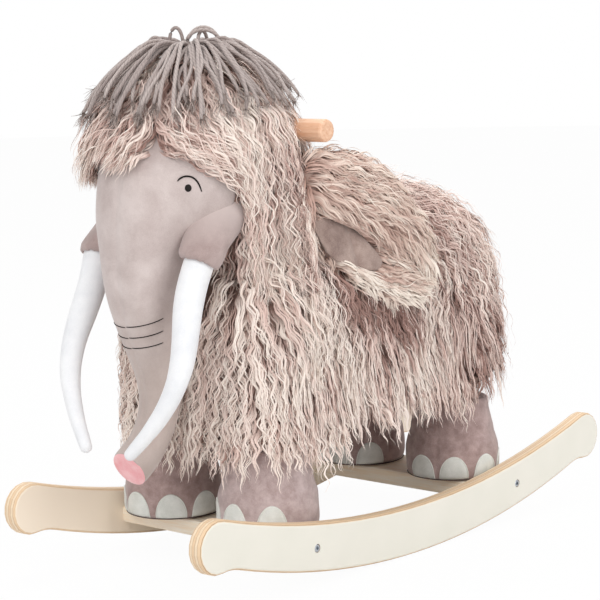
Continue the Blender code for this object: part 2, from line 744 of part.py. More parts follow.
def make_legs(finishes):
    up, down = Vector((0, 0, 1)), Vector((0, 0, -1))
    foot = SLAT_TOP + SEAM_GAP
    top = BELLY_UNDERSIDE - SEAM_GAP
    for corner, side, y, _ in LEG_CORNERS:
        x = side * LEG_X
        post = make(
            f"leg_post_{corner}",
            rod(Vector((x, y, foot)), Vector((x, y, POST_TOP)), POST_RADIUS, 16),
            finishes["hidden_wood"],
        )
        low_head = Vector((x, y, SLAT_HEIGHT + SEAM_GAP))
        high_head = Vector((x, y, BOARD_TOP - SEAM_GAP))
        cut(
            post,
            make(f"leg_post_{corner}_low_hole", screw_hole(low_head, up, POST_SCREW_LENGTH), None),
            make(f"leg_post_{corner}_top_hole", screw_hole(high_head, down, BOARD_SCREW_LENGTH), None),
        )
        make(f"post_screw_{corner}", screw_shape(low_head, up, POST_SCREW_LENGTH), finishes["steel"])
        make(f"board_screw_{corner}", screw_shape(high_head, down, BOARD_SCREW_LENGTH), finishes["steel"])

        shape = bmesh.new()
        add_rod(shape, Vector((x, y, foot)), Vector((x, y, top)), leg_radii(top - foot), 24)
        leg = make(f"leg_{corner}", shape, finishes["leg_velour"])
        core = rod(
            Vector((x, y, foot - POST_RADIUS)), Vector((x, y, top + POST_RADIUS)),
            POST_RADIUS + SEAM_GAP, 16,
        )
        cut(leg, make(f"leg_{corner}_core", core, None))


def make_frame(finishes):
    up = Vector((0, 0, 1))
    margin = POST_RADIUS + SEAT_BOARD_MARGIN
    half = LEG_X + margin
    board = make(
        "seat_board",
        box((-half, FRONT_LEG_Y - margin, SEAT_BOARD_HEIGHT), (half, REAR_LEG_Y + margin, BOARD_TOP)),
        finishes["hidden_wood"],
    )
    neck_low = BOARD_TOP + SEAM_GAP
    neck_high = HANDLE_HEIGHT + NECK_POST_ABOVE_HANDLE
    wide, deep = NECK_POST_WIDTH / 2, NECK_POST_DEPTH / 2
    neck = make(
        "neck_post",
        box((-wide, NECK_POST_Y - deep, neck_low), (wide, NECK_POST_Y + deep, neck_high)),
        finishes["hidden_wood"],
    )
    for corner, side, y, _ in LEG_CORNERS:
        head = Vector((side * LEG_X, y, BOARD_TOP - SEAM_GAP))
        hole = screw_hole(head, Vector((0, 0, -1)), BOARD_SCREW_LENGTH)
        cut(board, make(f"seat_board_{corner}_hole", hole, None))
    for where, share in (("front", -0.5), ("rear", 0.5)):
        head = Vector((0, NECK_POST_Y + share * NECK_SCREW_SPACING, SEAT_BOARD_HEIGHT + SEAM_GAP))
        make(f"neck_screw_{where}", screw_shape(head, up, NECK_SCREW_LENGTH), finishes["steel"])
        for target in (board, neck):
            hole = screw_hole(head, up, NECK_SCREW_LENGTH)
            cut(target, make(f"{target.name}_{where}_neck_hole", hole, None))

    reach = NECK_POST_WIDTH
    tunnel = rod(
        Vector((-reach, NECK_POST_Y, HANDLE_HEIGHT)), Vector((reach, NECK_POST_Y, HANDLE_HEIGHT)),
        HANDLE_RADIUS + SEAM_GAP, 20,
    )
    cut(neck, make("neck_post_handle_hole", tunnel, None))
    shape = bmesh.new()
    start = Vector((-HANDLE_LENGTH / 2, NECK_POST_Y, HANDLE_HEIGHT))
    add_rod(shape, start, start + Vector((1, 0, 0)), (
        (0, HANDLE_RADIUS - HANDLE_END_ROUND),
        (HANDLE_END_ROUND * 0.3, HANDLE_RADIUS - HANDLE_END_ROUND * 0.3),
        (HANDLE_END_ROUND, HANDLE_RADIUS),
        (HANDLE_LENGTH - HANDLE_END_ROUND, HANDLE_RADIUS),
        (HANDLE_LENGTH - HANDLE_END_ROUND * 0.3, HANDLE_RADIUS - HANDLE_END_ROUND * 0.3),
        (HANDLE_LENGTH, HANDLE_RADIUS - HANDLE_END_ROUND),
    ), 20)
    handle = make("handle", shape, finishes["beech"])
    back = Vector((0, NECK_POST_Y + deep - SEAM_GAP, HANDLE_HEIGHT))
    forward = Vector((0, -1, 0))
    length = deep - HANDLE_RADIUS + HANDLE_SCREW_BITE
    make("handle_screw", screw_shape(back, forward, length), finishes["steel"])
    for target in (neck, handle):
        hole = screw_hole(back, forward, length)
        cut(target, make(f"{target.name}_screw_hole", hole, None))


def neck_room(name):
    """Space for the neck post and the handle screw's head inside the stuffing."""
    wide, deep = NECK_POST_WIDTH / 2 + SEAM_GAP, NECK_POST_DEPTH / 2 + SEAM_GAP
    high = HANDLE_HEIGHT + NECK_POST_ABOVE_HANDLE + SEAM_GAP
    low = BOARD_TOP - SEAT_BOARD_THICKNESS / 2
    shape = box((-wide, NECK_POST_Y - deep, low), (wide, NECK_POST_Y + deep, high))
    return make(name, shape, None)


def handle_room(name):
    reach = HANDLE_LENGTH
    tunnel = rod(
        Vector((-reach, NECK_POST_Y, HANDLE_HEIGHT)), Vector((reach, NECK_POST_Y, HANDLE_HEIGHT)),
        HANDLE_RADIUS + SEAM_GAP, 20,
    )
    return make(name, tunnel, None)


def torso(name, grow, finish=None, below=0.0):
    """The body down to its hem, or lower by the given amount."""
    return make(name, loft(torso_rings(grow, HEM_FRONT_HEIGHT - below, HEM_REAR_HEIGHT - below)), finish)


def make_body(finishes):
    shape = loft(torso_rings(-FUR_THICKNESS - FILLING_GAP, BELLY_HEIGHT))
    filling = make("torso_filling", shape, finishes["filling"])
    margin = POST_RADIUS + SEAT_BOARD_MARGIN + SEAM_GAP
    half = LEG_X + margin
    board_room = box(
        (-half, FRONT_LEG_Y - margin, BELLY_HEIGHT - SEAT_BOARD_THICKNESS),
        (half, REAR_LEG_Y + margin, BOARD_TOP + SEAM_GAP),
    )
    cut(filling, make("torso_filling_board_room", board_room, None), neck_room("torso_filling_neck_room"))

    panel_rings = torso_rings(-FUR_THICKNESS - FILLING_GAP, BELLY_HEIGHT)[:1]
    panel_rings = [
        [Vector((point.x, point.y, height)) for point in panel_rings[0]]
        for height in (BELLY_UNDERSIDE, BELLY_HEIGHT - SEAM_GAP)
    ]
    panel = make("belly_panel", loft(panel_rings), finishes["leg_velour"])
    post_room = bmesh.new()
    for _, side, y, _ in LEG_CORNERS:
        low = Vector((side * LEG_X, y, BELLY_UNDERSIDE - POST_RADIUS))
        high = Vector((side * LEG_X, y, BELLY_HEIGHT + POST_RADIUS))
        radius = POST_RADIUS + SEAM_GAP
        add_rod(post_room, low, high, ((0, radius), ((high - low).length, radius)), 16)
    cut(panel, make("belly_panel_post_room", post_room, None))

    cover = torso("torso_fur_cover", 0.0, finishes["fur"])
    cut(
        cover,
        torso("torso_fur_cover_inside", -FUR_THICKNESS, below=FUR_THICKNESS),
        leg_rooms("torso_fur_cover_leg_rooms"),
        make("torso_fur_cover_neck", head_shape(-FUR_THICKNESS + SEAM_GAP), None),
        neck_room("torso_fur_cover_post_room"),
    )


def face_space(name, grow):
    return make(name, loft(trunk_rings(grow, 0, grow)), None)


def cheek_space(name, side, grow):
    rings = cheek_rings(grow)
    if side < 0:
        rings = [mirrored(ring) for ring in rings]
    return make(name, loft(rings), None)


def make_head(finishes):
    filling = make("head_filling", head_shape(-FUR_THICKNESS - FILLING_GAP), finishes["filling"])
    cut(
        filling,
        torso("head_filling_neck_seat", -FUR_THICKNESS + FILLING_GAP),
        neck_room("head_filling_post_room"),
        handle_room("head_filling_handle_room"),
    )
    cover = make("head_fur_cover", head_shape(0.0), finishes["fur"])
    cut(
        cover,
        make("head_fur_cover_inside", head_shape(-FUR_THICKNESS + SEAM_GAP), None),
        neck_room("head_fur_cover_post_room"),
        torso("head_fur_cover_neck_seam", SEAM_GAP),
        face_space("head_fur_cover_face_room", FUR_EDGE_GAP),
        cheek_space("head_fur_cover_cheek_room_left", 1, FUR_EDGE_GAP),
        cheek_space("head_fur_cover_cheek_room_right", -1, FUR_EDGE_GAP),
        handle_room("head_fur_cover_handle_room"),
    )


def knuckle_outline(radius, above):
    """Outline in (y, z): everything above or below the knuckle line, with a round end about it."""
    far = 0.40
    half = arc((KNUCKLE_Y, KNUCKLE_HEIGHT), radius, 0, math.pi, 18)
    end = KNUCKLE_HEIGHT + (far if above else -far)
    outline = [(KNUCKLE_Y + far, KNUCKLE_HEIGHT)] + half + [(KNUCKLE_Y - far, KNUCKLE_HEIGHT)]
    return outline + [(KNUCKLE_Y - far, end), (KNUCKLE_Y + far, end)]


def make_face(finishes):
    face = make("face", loft(trunk_rings(0.0)), finishes["face_velour"])
    lower_room = extrude_x(knuckle_outline(KNUCKLE_RADIUS + KNUCKLE_PLAY, False), -0.2, 0.2)
    cut(
        face,
        make("face_knuckle_room", lower_room, None),
        make("face_head_room", head_shape(-FUR_THICKNESS + SEAM_GAP), None),
        torso("face_chest_room", SEAM_GAP),
    )

    trunk = make("trunk_lower", loft(trunk_rings(0.0)), finishes["face_velour"])
    above = extrude_x(knuckle_outline(KNUCKLE_RADIUS, True), -0.2, 0.2)
    middles, directions = trunk_path()
    tip, out = middles[-1], directions[-1]
    disc_radius = TRUNK_STATIONS[-1][2] - TRUNK_TIP_RIM
    pocket = rod(
        tip - out * (TRUNK_DISC_THICKNESS + SEAM_GAP), tip + out * TRUNK_DISC_THICKNESS,
        disc_radius + SEAM_GAP, 20,
    )
    cut(trunk, make("trunk_lower_top_room", above, None), make("trunk_lower_tip_pocket", pocket, None))
    set_origin(trunk, Vector((0, KNUCKLE_Y, KNUCKLE_HEIGHT)))
    disc = rod(tip - out * TRUNK_DISC_THICKNESS, tip, disc_radius, 20)
    disc = make("trunk_tip_disc", disc, finishes["pink_felt"])
    set_origin(disc, Vector((0, KNUCKLE_Y, KNUCKLE_HEIGHT)))


def make_cheeks_and_tusks(finishes):
    for word, side in (("left", 1), ("right", -1)):
        cheek = cheek_space(f"cheek_{word}", side, 0.0)
        cheek.data.materials.append(finishes["face_velour"])
        socket = tusk_rings(SEAM_GAP, whole=False)
        tusk = tusk_rings()
        if side < 0:
            socket = [mirrored(ring) for ring in socket]
            tusk = [mirrored(ring) for ring in tusk]
        cut(
            cheek,
            face_space(f"cheek_{word}_face_room", SEAM_GAP),
            make(f"cheek_{word}_head_room", head_shape(-FUR_THICKNESS + SEAM_GAP), None),
            torso(f"cheek_{word}_chest_room", SEAM_GAP),
            make(f"cheek_{word}_socket", loft(socket), None),
        )
        make(f"tusk_{word}", loft(tusk), finishes["white_plush"])


def make_ears(finishes):
    hinge = Vector((EAR_HINGE_X, EAR_OUTLINE[1][0], EAR_HINGE_HEIGHT))
    for word, side in (("left", 1), ("right", -1)):
        ear, lining = ear_rings(), lining_rings()
        if side < 0:
            ear = [mirrored(ring) for ring in ear]
            lining = [mirrored(ring) for ring in lining]
        place = Vector((side * hinge.x, hinge.y, hinge.z))
        set_origin(make(f"ear_{word}", loft(ear), finishes["fur"]), place)
        set_origin(make(f"ear_lining_{word}", loft(lining), finishes["lining_velour"]), place)


def make_forelock(finishes):
    lock = make("forelock", head_shape(FORELOCK_THICKNESS), finishes["yarn"])
    tuft_base = HEAD_CENTRE.z + HEAD_HALF_HEIGHT + FORELOCK_THICKNESS / 2
    tuft = bmesh.new()
    rise = TUFT_HEIGHT - tuft_base
    add_rod(
        tuft,
        Vector((0, HEAD_CENTRE.y, tuft_base)),
        Vector((0, HEAD_CENTRE.y, TUFT_HEIGHT)),
        (
            (0, TUFT_RADIUS * 1.3),
            (rise * 0.45, TUFT_RADIUS),
            (rise * 0.85, TUFT_RADIUS * 0.7),
            (rise, TUFT_RADIUS * 0.3),
        ),
        20,
    )
    cut(lock, make("forelock_tuft", tuft, None), operation="UNION")
    far = 2 * HEAD_HALF_DEPTH
    below = box(
        (-far, HEAD_CENTRE.y - far, HEAD_CENTRE.z - far),
        (far, HEAD_CENTRE.y + far, FORELOCK_EDGE_HEIGHT),
    )
    cut(
        lock,
        make("forelock_head_room", head_shape(SEAM_GAP), None),
        make("forelock_below", below, None),
    )


def make_tail(finishes):
    clear = TAIL_ROOT_RADIUS * 1.5 + SEAM_GAP
    root = Vector((0, torso_rear_y(TAIL_ROOT_HEIGHT - clear) + clear, TAIL_ROOT_HEIGHT))
    down = Vector((0, math.sin(TAIL_LEAN), -math.cos(TAIL_LEAN)))
    shape = bmesh.new()
    radii = [(0, TAIL_ROOT_RADIUS * 0.5), (TAIL_ROOT_RADIUS * 0.5, TAIL_ROOT_RADIUS)]
    radii += [(TAIL_LENGTH * 0.6, TAIL_ROOT_RADIUS * 0.8), (TAIL_LENGTH * 0.85, TAIL_END_RADIUS)]
    radii += [(TAIL_LENGTH, TAIL_END_RADIUS * 0.5)]
    add_rod(shape, root, root + down, radii, 16)
    set_origin(make("tail", shape, finishes["leg_velour"]), root)


def main():
    clear_scene()
    finishes = make_materials()
    make_rockers(finishes)
    make_slats(finishes)
    make_slat_hardware(finishes)
    make_legs(finishes)
    make_frame(finishes)
    make_body(finishes)
    make_head(finishes)
    make_face(finishes)
    make_cheeks_and_tusks(finishes)
    make_ears(finishes)
    make_forelock(finishes)
    make_tail(finishes)


main()
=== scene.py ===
"""Rocking mammoth ride-on toy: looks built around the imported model."""

import math
from collections import namedtuple

import bmesh
import bpy
import numpy as np
from mathutils import Matrix, Vector
from mathutils.bvhtree import BVHTree


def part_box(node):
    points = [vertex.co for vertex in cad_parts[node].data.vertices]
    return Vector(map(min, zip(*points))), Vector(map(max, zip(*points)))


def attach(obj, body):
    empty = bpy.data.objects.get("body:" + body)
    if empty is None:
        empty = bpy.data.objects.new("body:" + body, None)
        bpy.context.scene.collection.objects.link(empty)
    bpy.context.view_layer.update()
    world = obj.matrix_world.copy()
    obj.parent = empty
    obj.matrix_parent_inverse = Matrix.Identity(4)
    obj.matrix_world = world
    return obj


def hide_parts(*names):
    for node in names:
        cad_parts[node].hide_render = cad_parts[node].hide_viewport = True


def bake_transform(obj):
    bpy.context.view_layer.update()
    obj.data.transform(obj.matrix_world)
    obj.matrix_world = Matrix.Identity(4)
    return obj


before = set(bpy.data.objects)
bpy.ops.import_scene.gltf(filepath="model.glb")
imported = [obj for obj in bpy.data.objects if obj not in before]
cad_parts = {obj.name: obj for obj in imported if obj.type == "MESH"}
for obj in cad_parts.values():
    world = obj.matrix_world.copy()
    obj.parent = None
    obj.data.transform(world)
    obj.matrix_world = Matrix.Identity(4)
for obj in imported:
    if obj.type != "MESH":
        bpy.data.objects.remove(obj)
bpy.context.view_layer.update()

bpy.ops.object.select_all(action="DESELECT")
ROOT = "mammoth_on_rockers"
MAP = "OFBake"
SIDES = (("left", 1), ("right", -1))
ACROSS = Vector((1, 0, 0))

# Sizes in metres that repeat the model's own. Each leg has its place, the turns of its nails and of its seam.
SOLE_HEIGHT, SOLE_RADIUS, FOOT_RADIUS = 0.0533, 0.0525, 0.0565
LEGS = {
    "front_left": ((0.0725, -0.180), (-86, -42, 0, 46), 100),
    "front_right": ((-0.0725, -0.180), (-46, -4, 41, 84), 120),
    "rear_left": ((0.0725, 0.160), (-4, 39, 83, 126), 17),
    "rear_right": ((-0.0725, 0.160), (-77, -34, 9, 52), 80),
}
ROCKER_MIDDLE, PLY_DEPTH = 0.141, 0.0036
HEM_FRONT, HEM_REAR = (-0.236, 0.116), (0.268, 0.150)
FUR_BACKING_DEPTH = 0.0085
HEAD_MIDDLE = Vector((0.0, -0.205, 0.450))
HEAD_HALF = Vector((0.106, 0.118, 0.128))
# For each ring of the trunk: y, z, half width and half depth
TRUNK_RINGS = (
    (-0.240, 0.493, 0.058, 0.056), (-0.254, 0.462, 0.074, 0.066), (-0.256, 0.433, 0.072, 0.068),
    (-0.268, 0.400, 0.0565, 0.061), (-0.277, 0.365, 0.0470, 0.052), (-0.284, 0.330, 0.0385, 0.045),
    (-0.284, 0.290, 0.029, 0.036), (-0.273, 0.250, 0.025, 0.030), (-0.268, 0.215, 0.023, 0.026),
    (-0.273, 0.184, 0.022, 0.023), (-0.292, 0.153, 0.0220, 0.0220), (-0.320, 0.135, 0.0228, 0.0228),
)
TIP_SLOPE = math.radians(29)
TUSK_LINE = ((0.0755, -0.282, 0.358), (0.064, -0.316, 0.278), (0.120, -0.318, 0.255), (0.034, -0.350, 0.161))
TUSK_THICK, TUSK_THIN = 0.0165, 0.0068
TAIL_ROOT, TAIL_LENGTH, TAIL_LEAN = Vector((0, 0.27416, 0.345)), 0.130, math.radians(12)
# Each ear: y with its upper and lower edge, and each lining: y with its lower and upper edge
EAR_YS, EAR_HIGHS, EAR_LOWS = np.array((
    (-0.168, 0.446, 0.392), (-0.150, 0.465, 0.362), (-0.115, 0.465, 0.332), (-0.070, 0.457, 0.306),
    (-0.024, 0.432, 0.287), (0.014, 0.386, 0.284), (0.034, 0.342, 0.303),
)).T
LINING_YS, LINING_LOWS, LINING_HIGHS = np.array((
    (-0.158, 0.392, 0.402), (-0.150, 0.372, 0.401), (-0.141, 0.356, 0.399), (-0.125, 0.346, 0.3955),
    (-0.106, 0.338, 0.3886), (-0.085, 0.3305, 0.378), (-0.063, 0.3292, 0.358), (-0.053, 0.333, 0.3465),
    (-0.047, 0.3385, 0.3405),
)).T
LINING_FRONT, LINING_REAR = float(LINING_YS[0]), float(LINING_YS[-1])
LINING_LENGTH = LINING_REAR - LINING_FRONT
EAR_TOP, EAR_INNER, EAR_LEAN = 0.452, 0.1015, 0.175
YARN_TONES, YARN_RADIUS, YARN_REPEAT = 16, 0.0020, 0.15


# Small helpers

def new_piece(name, data):
    piece = bpy.data.objects.new(name, data)
    bpy.context.scene.collection.objects.link(piece)
    return piece


def named(name):
    """Names the object that was just made, and its data."""
    piece = bpy.context.object
    piece.name = piece.data.name = name
    return piece


def title(key):
    return key.replace("_", " ").title().replace("Ior", "IOR")


def ramp(values, start, span):
    """0 at start rising to 1 at start + span, or the other way down for a negative span."""
    return np.clip((values - start) / span, 0, 1)


def part(value, start, span):
    """The same for one number."""
    return min(1.0, max(0.0, (value - start) / span))


def chosen(mask, *values):
    return [value[mask] for value in values]


# Camera, floor and light

def set_camera():
    turn, rise, roll = math.radians(40.94), math.radians(7.89), math.radians(-1.24)
    back = Vector((math.sin(turn) * math.cos(rise), -math.cos(turn) * math.cos(rise), math.sin(rise)))
    right = Vector((math.cos(turn), math.sin(turn), 0))
    up = back.cross(right)
    across = math.cos(roll) * right + math.sin(roll) * up
    upward = -math.sin(roll) * right + math.cos(roll) * up
    lens = bpy.data.cameras.new("camera")
    lens.sensor_width, lens.lens = 36.0, 120.3
    camera = new_piece("camera", lens)
    turned = Matrix((across, upward, back)).transposed().to_4x4()
    camera.matrix_world = Matrix.Translation((1.517, -1.784, 0.605)) @ turned
    bpy.context.scene.camera = camera


class Tree:
    """A node tree being wired, with short words for its nodes and links."""

    def __init__(self, tree):
        self.tree = tree

    def add(self, kind, values=(), **settings):
        node = self.tree.nodes.new("ShaderNode" + kind)
        for name, value in settings.items():
            setattr(node, name, value)
        for name, value in dict(values).items():
            socket = node.inputs[name]
            if isinstance(value, bpy.types.NodeSocket):
                self.tree.links.new(value, socket)
            elif isinstance(value, str):
                socket.default_value = (*linear(value), 1.0)
            else:
                socket.default_value = value
        return node

    def math(self, operation, *values):
        return self.add("Math", enumerate(values), operation=operation).outputs[0]

    def plus(self, first, second):
        return self.math("ADD", first, second)

    def minus(self, first, second):
        return self.math("SUBTRACT", first, second)

    def times(self, first, second):
        return self.math("MULTIPLY", first, second)

    def between(self, value, low, high, out_low=0.0, out_high=1.0):
        return self.add("MapRange", enumerate((value, low, high, out_low, out_high))).outputs[0]

    def mix(self, share, first, second):
        return self.add("Mix", {0: share, 6: first, 7: second}, data_type="RGBA").outputs[2]

    def place(self):
        return self.add("TexCoord").outputs["Object"]

    def where(self):
        return self.add("UVMap", uv_map=MAP).outputs[0]

    def split(self, vector):
        return self.add("SeparateXYZ", {0: vector}).outputs

    def stretched(self, vector, *scale):
        return self.add("Mapping", {"Vector": vector, "Scale": scale}).outputs[0]

    def noise(self, vector, scale, detail, roughness=0.5, distortion=0.0):
        values = {"Vector": vector, "Scale": scale, "Detail": detail, "Roughness": roughness, "Distortion": distortion}
        return self.add("TexNoise", values).outputs[0]

    def bump(self, height, strength, distance):
        return self.add("Bump", {"Height": height, "Strength": strength, "Distance": distance}).outputs[0]

    def use(self, group, **values):
        outputs = self.add("Group", {title(key): value for key, value in values.items()}, node_tree=group).outputs
        return outputs["Color"], outputs["Height"]

    def give(self, colour, height):
        """Ends a group with its two outputs."""
        out = self.tree.nodes.new("NodeGroupOutput")
        self.tree.links.new(colour, out.inputs["Color"])
        self.tree.links.new(height, out.inputs["Height"])
        return self.tree

    def show(self, shader, kind="OutputMaterial"):
        self.tree.links.new(shader.outputs[0], self.add(kind).inputs["Surface"])

    def surface(self, **values):
        self.show(self.add("BsdfPrincipled", {title(key): value for key, value in values.items()}))


def linear(code):
    """The linear colour of a six-figure colour code."""
    parts = [int(code[k:k + 2], 16) / 255 for k in (0, 2, 4)]
    return tuple(c / 12.92 if c <= 0.04045 else ((c + 0.055) / 1.055) ** 2.4 for c in parts)


def new_finish(name):
    made = bpy.data.materials.new(name)
    made.use_nodes = True
    made.node_tree.nodes.clear()
    return made, Tree(made.node_tree)


def light_up():
    scene = bpy.context.scene
    scene.view_settings.view_transform = "Standard"
    scene.world = bpy.data.worlds.new("studio")
    scene.world.use_nodes = True
    wires = Tree(scene.world.node_tree)
    wires.tree.nodes.clear()
    path = wires.add("LightPath").outputs
    seen = wires.math("MAXIMUM", path["Is Camera Ray"], path["Is Glossy Ray"])
    strength = wires.between(seen, 0.0, 1.0, 0.62, 1.0)
    wires.show(wires.add("Background", {"Color": "FFFFFF", "Strength": strength}), "OutputWorld")
    lamps = (
        ("key_lamp", (0.9, -2.5, 2.7), 1.6, 40.0),
        ("side_lamp", (2.8, -0.4, 1.9), 1.6, 25.5),
        ("top_lamp", (-0.6, 0.4, 2.7), 1.8, 24.0),
    )
    for name, place, size, power in lamps:
        lamp = bpy.data.lights.new(name, "AREA")
        lamp.size, lamp.energy = size, power
        aim = (Vector((0, 0, 0.3)) - Vector(place)).to_track_quat("-Z", "Y").to_matrix().to_4x4()
        new_piece(name, lamp).matrix_world = Matrix.Translation(place) @ aim
    bpy.ops.mesh.primitive_circle_add(vertices=64, radius=9.0, fill_type="NGON", location=(0, 0, 0))
    floor = named("floor")
    made, wires = new_finish("pale_floor")
    matt = wires.add("BsdfDiffuse", {"Color": (0.86, 0.86, 0.86, 1.0)}).outputs[0]
    glow = wires.add("Emission", {"Color": "FFFFFF", "Strength": 1.0}).outputs[0]
    share = wires.times(wires.add("LightPath").outputs["Is Camera Ray"], 0.965)
    wires.show(wires.add("MixShader", {0: share, 1: matt, 2: glow}))
    floor.data.materials.append(made)


# Finishes

def new_group(name, **takes):
    """A node group with these inputs, and Color and Height as its outputs."""
    group = bpy.data.node_groups.new(name, "ShaderNodeTree")
    for key, value in takes.items():
        coloured = isinstance(value, tuple)
        kind = "NodeSocketColor" if coloured else "NodeSocketFloat"
        socket = group.interface.new_socket(name=title(key), in_out="INPUT", socket_type=kind)
        socket.default_value = (*value, 1.0) if coloured else value
    for label, kind in (("Color", "NodeSocketColor"), ("Height", "NodeSocketFloat")):
        group.interface.new_socket(name=label, in_out="OUTPUT", socket_type=kind)
    return Tree(group), group.nodes.new("NodeGroupInput").outputs


def make_nap_group():
    """Velour: patches where the pile lies another way, and its short fibres."""
    wires, given = new_group("nap", patch_size=38.0, light=(0.5, 0.5, 0.5), dark=(0.3, 0.3, 0.3))
    place = wires.place()
    patch = wires.noise(place, given["Patch Size"], 4.0, 0.62, 0.2)
    fine = wires.noise(place, 900.0, 2.0, 0.7)
    share = wires.plus(wires.between(patch, 0.30, 0.70), wires.between(fine, 0.25, 0.75, -0.24, 0.24))
    share = wires.math("MINIMUM", wires.math("MAXIMUM", share, 0.0), 1.0)
    return wires.give(wires.mix(share, given["Dark"], given["Light"]), wires.plus(wires.times(patch, 0.5), fine))


def make_grain_group():
    """Straight pale grain along X with short pores."""
    wires, given = new_group("wood_grain", light=(0.8, 0.6, 0.4), dark=(0.6, 0.4, 0.25))
    place = wires.place()
    grain = wires.noise(wires.stretched(place, 0.06, 1.0, 1.0), 260.0, 4.0, 0.6, 0.4)
    flecks = wires.noise(wires.stretched(place, 0.12, 1.0, 1.0), 1100.0, 1.0)
    share = wires.plus(wires.between(grain, 0.32, 0.68), wires.between(flecks, 0.62, 0.72, 0.0, 0.35))
    share = wires.math("MINIMUM", share, 1.0)
    return wires.give(wires.mix(share, given["Light"], given["Dark"]), wires.minus(1.0, share))


def make_strand_group():
    """Fur and yarn fibres: tone across the map's columns, with painted shade at the lowest tones, root to tip along
    them, and fine hairs.
    """
    wires, given = new_group(
        "strand", root=(0.2, 0.15, 0.12), dark=(0.4, 0.3, 0.27), middle=(0.6, 0.5, 0.45), light=(0.8, 0.72, 0.66),
    )
    where = wires.where()
    tone, along, _ = wires.split(where)
    body = wires.mix(wires.between(tone, 0.14, 0.5), given["Dark"], given["Middle"])
    body = wires.mix(wires.between(tone, 0.5, 1.0), body, given["Light"])
    streak = wires.noise(wires.stretched(where, 64.0, 1.2, 1.0), 4.0, 2.0, 0.6)
    body = wires.mix(wires.between(streak, 0.35, 0.75, 0.0, 0.24), body, given["Root"])
    colour = wires.mix(wires.between(along, 0.0, 0.34), given["Root"], body)
    # Painted shade: the lowest tones, which go to strands lying in shade, lighten less towards the tips and blend most
    # of the way into the root colour.
    tip = wires.times(wires.between(along, 0.45, 1.0, 0.0, 0.42), wires.between(tone, 0.0, 0.45, 0.1, 1.0))
    colour = wires.mix(tip, colour, given["Light"])
    return wires.give(wires.mix(wires.between(tone, 0.0, 0.14, 0.8, 0.0), colour, given["Root"]), streak)


def velour(name, light, dark, patch=38.0, sheen=0.35, upper=None):
    """Napped cloth. upper is a second colour, the two heights it comes in between, and how much of it: painted shade
    and light that change with height.
    """
    made, wires = new_finish(name)
    colour, height = wires.use(GROUPS["nap"], patch_size=patch, light=light, dark=dark)
    if upper:
        code, low, high, share = upper
        level = wires.split(wires.place())[2]
        colour = wires.mix(wires.between(level, low, high, 0.0, share), colour, code)
    wires.surface(
        base_color=colour, roughness=0.9, normal=wires.bump(height, 0.25, 0.0006),
        sheen_weight=sheen, sheen_roughness=0.5, specular_ior_level=0.2,
    )
    return made


def wood(name, light, dark, roughness):
    made, wires = new_finish(name)
    colour, height = wires.use(GROUPS["grain"], light=light, dark=dark)
    shine = wires.between(height, 0.0, 1.0, roughness + 0.12, roughness)
    wires.surface(base_color=colour, roughness=shine, normal=wires.bump(height, 0.15, 0.0003))
    return made


def painted_plywood():
    """Cream paint on the two flat faces, bare plies along the edges."""
    made, wires = new_finish("painted_plywood")
    place = wires.place()
    depth = wires.minus(wires.math("ABSOLUTE", wires.split(place)[0]), ROCKER_MIDDLE)
    drift = wires.between(wires.noise(place, 30.0, 2.0), 0.0, 1.0, -0.0003, 0.0003)
    layer = wires.times(wires.plus(wires.plus(depth, drift), 0.1), 1 / PLY_DEPTH)
    line = wires.between(wires.math("ABSOLUTE", wires.minus(wires.math("FRACT", layer), 0.5)), 0.40, 0.49)
    other = wires.math("MODULO", wires.math("FLOOR", layer), 2.0)
    along = wires.noise(wires.stretched(place, 8.0, 0.6, 0.6), 160.0, 3.0)
    ply = wires.mix(other, "F3DFC4", "EACDAA")
    ply = wires.mix(wires.between(along, 0.3, 0.75, 0.0, 0.45), ply, "DDBB93")
    ply = wires.mix(wires.times(line, 0.8), ply, "A57B53")
    paint = wires.mix(wires.between(wires.noise(place, 14.0, 3.0), 0.3, 0.7), "E9E6DA", "EFEBE0")
    paint = wires.mix(wires.between(depth, -0.002, 0.002), "FFF0DC", paint)
    painted = wires.between(wires.math("ABSOLUTE", depth), 0.00835, 0.00865)
    relief = wires.plus(wires.times(wires.noise(place, 420.0, 1.0), 0.25), wires.times(line, -0.6))
    wires.surface(
        base_color=wires.mix(painted, ply, paint), roughness=wires.between(painted, 0.0, 1.0, 0.58, 0.36),
        normal=wires.bump(relief, 0.12, 0.0003),
    )
    return made


def steel():
    made, wires = new_finish("steel")
    rub = wires.noise(wires.place(), 700.0, 2.0)
    shine = wires.between(rub, 0.3, 0.7, 0.22, 0.38)
    wires.surface(base_color=wires.mix(rub, "C9CDD2", "A9AEB5"), metallic=1.0, roughness=shine)
    return made


def fibres(name, root, dark, middle, light, sheen=0.2):
    made, wires = new_finish(name)
    colour, height = wires.use(GROUPS["strand"], root=root, dark=dark, middle=middle, light=light)
    wires.surface(
        base_color=colour, roughness=0.72, normal=wires.bump(height, 0.3, 0.0005),
        sheen_weight=sheen, specular_ior_level=0.25,
    )
    return made


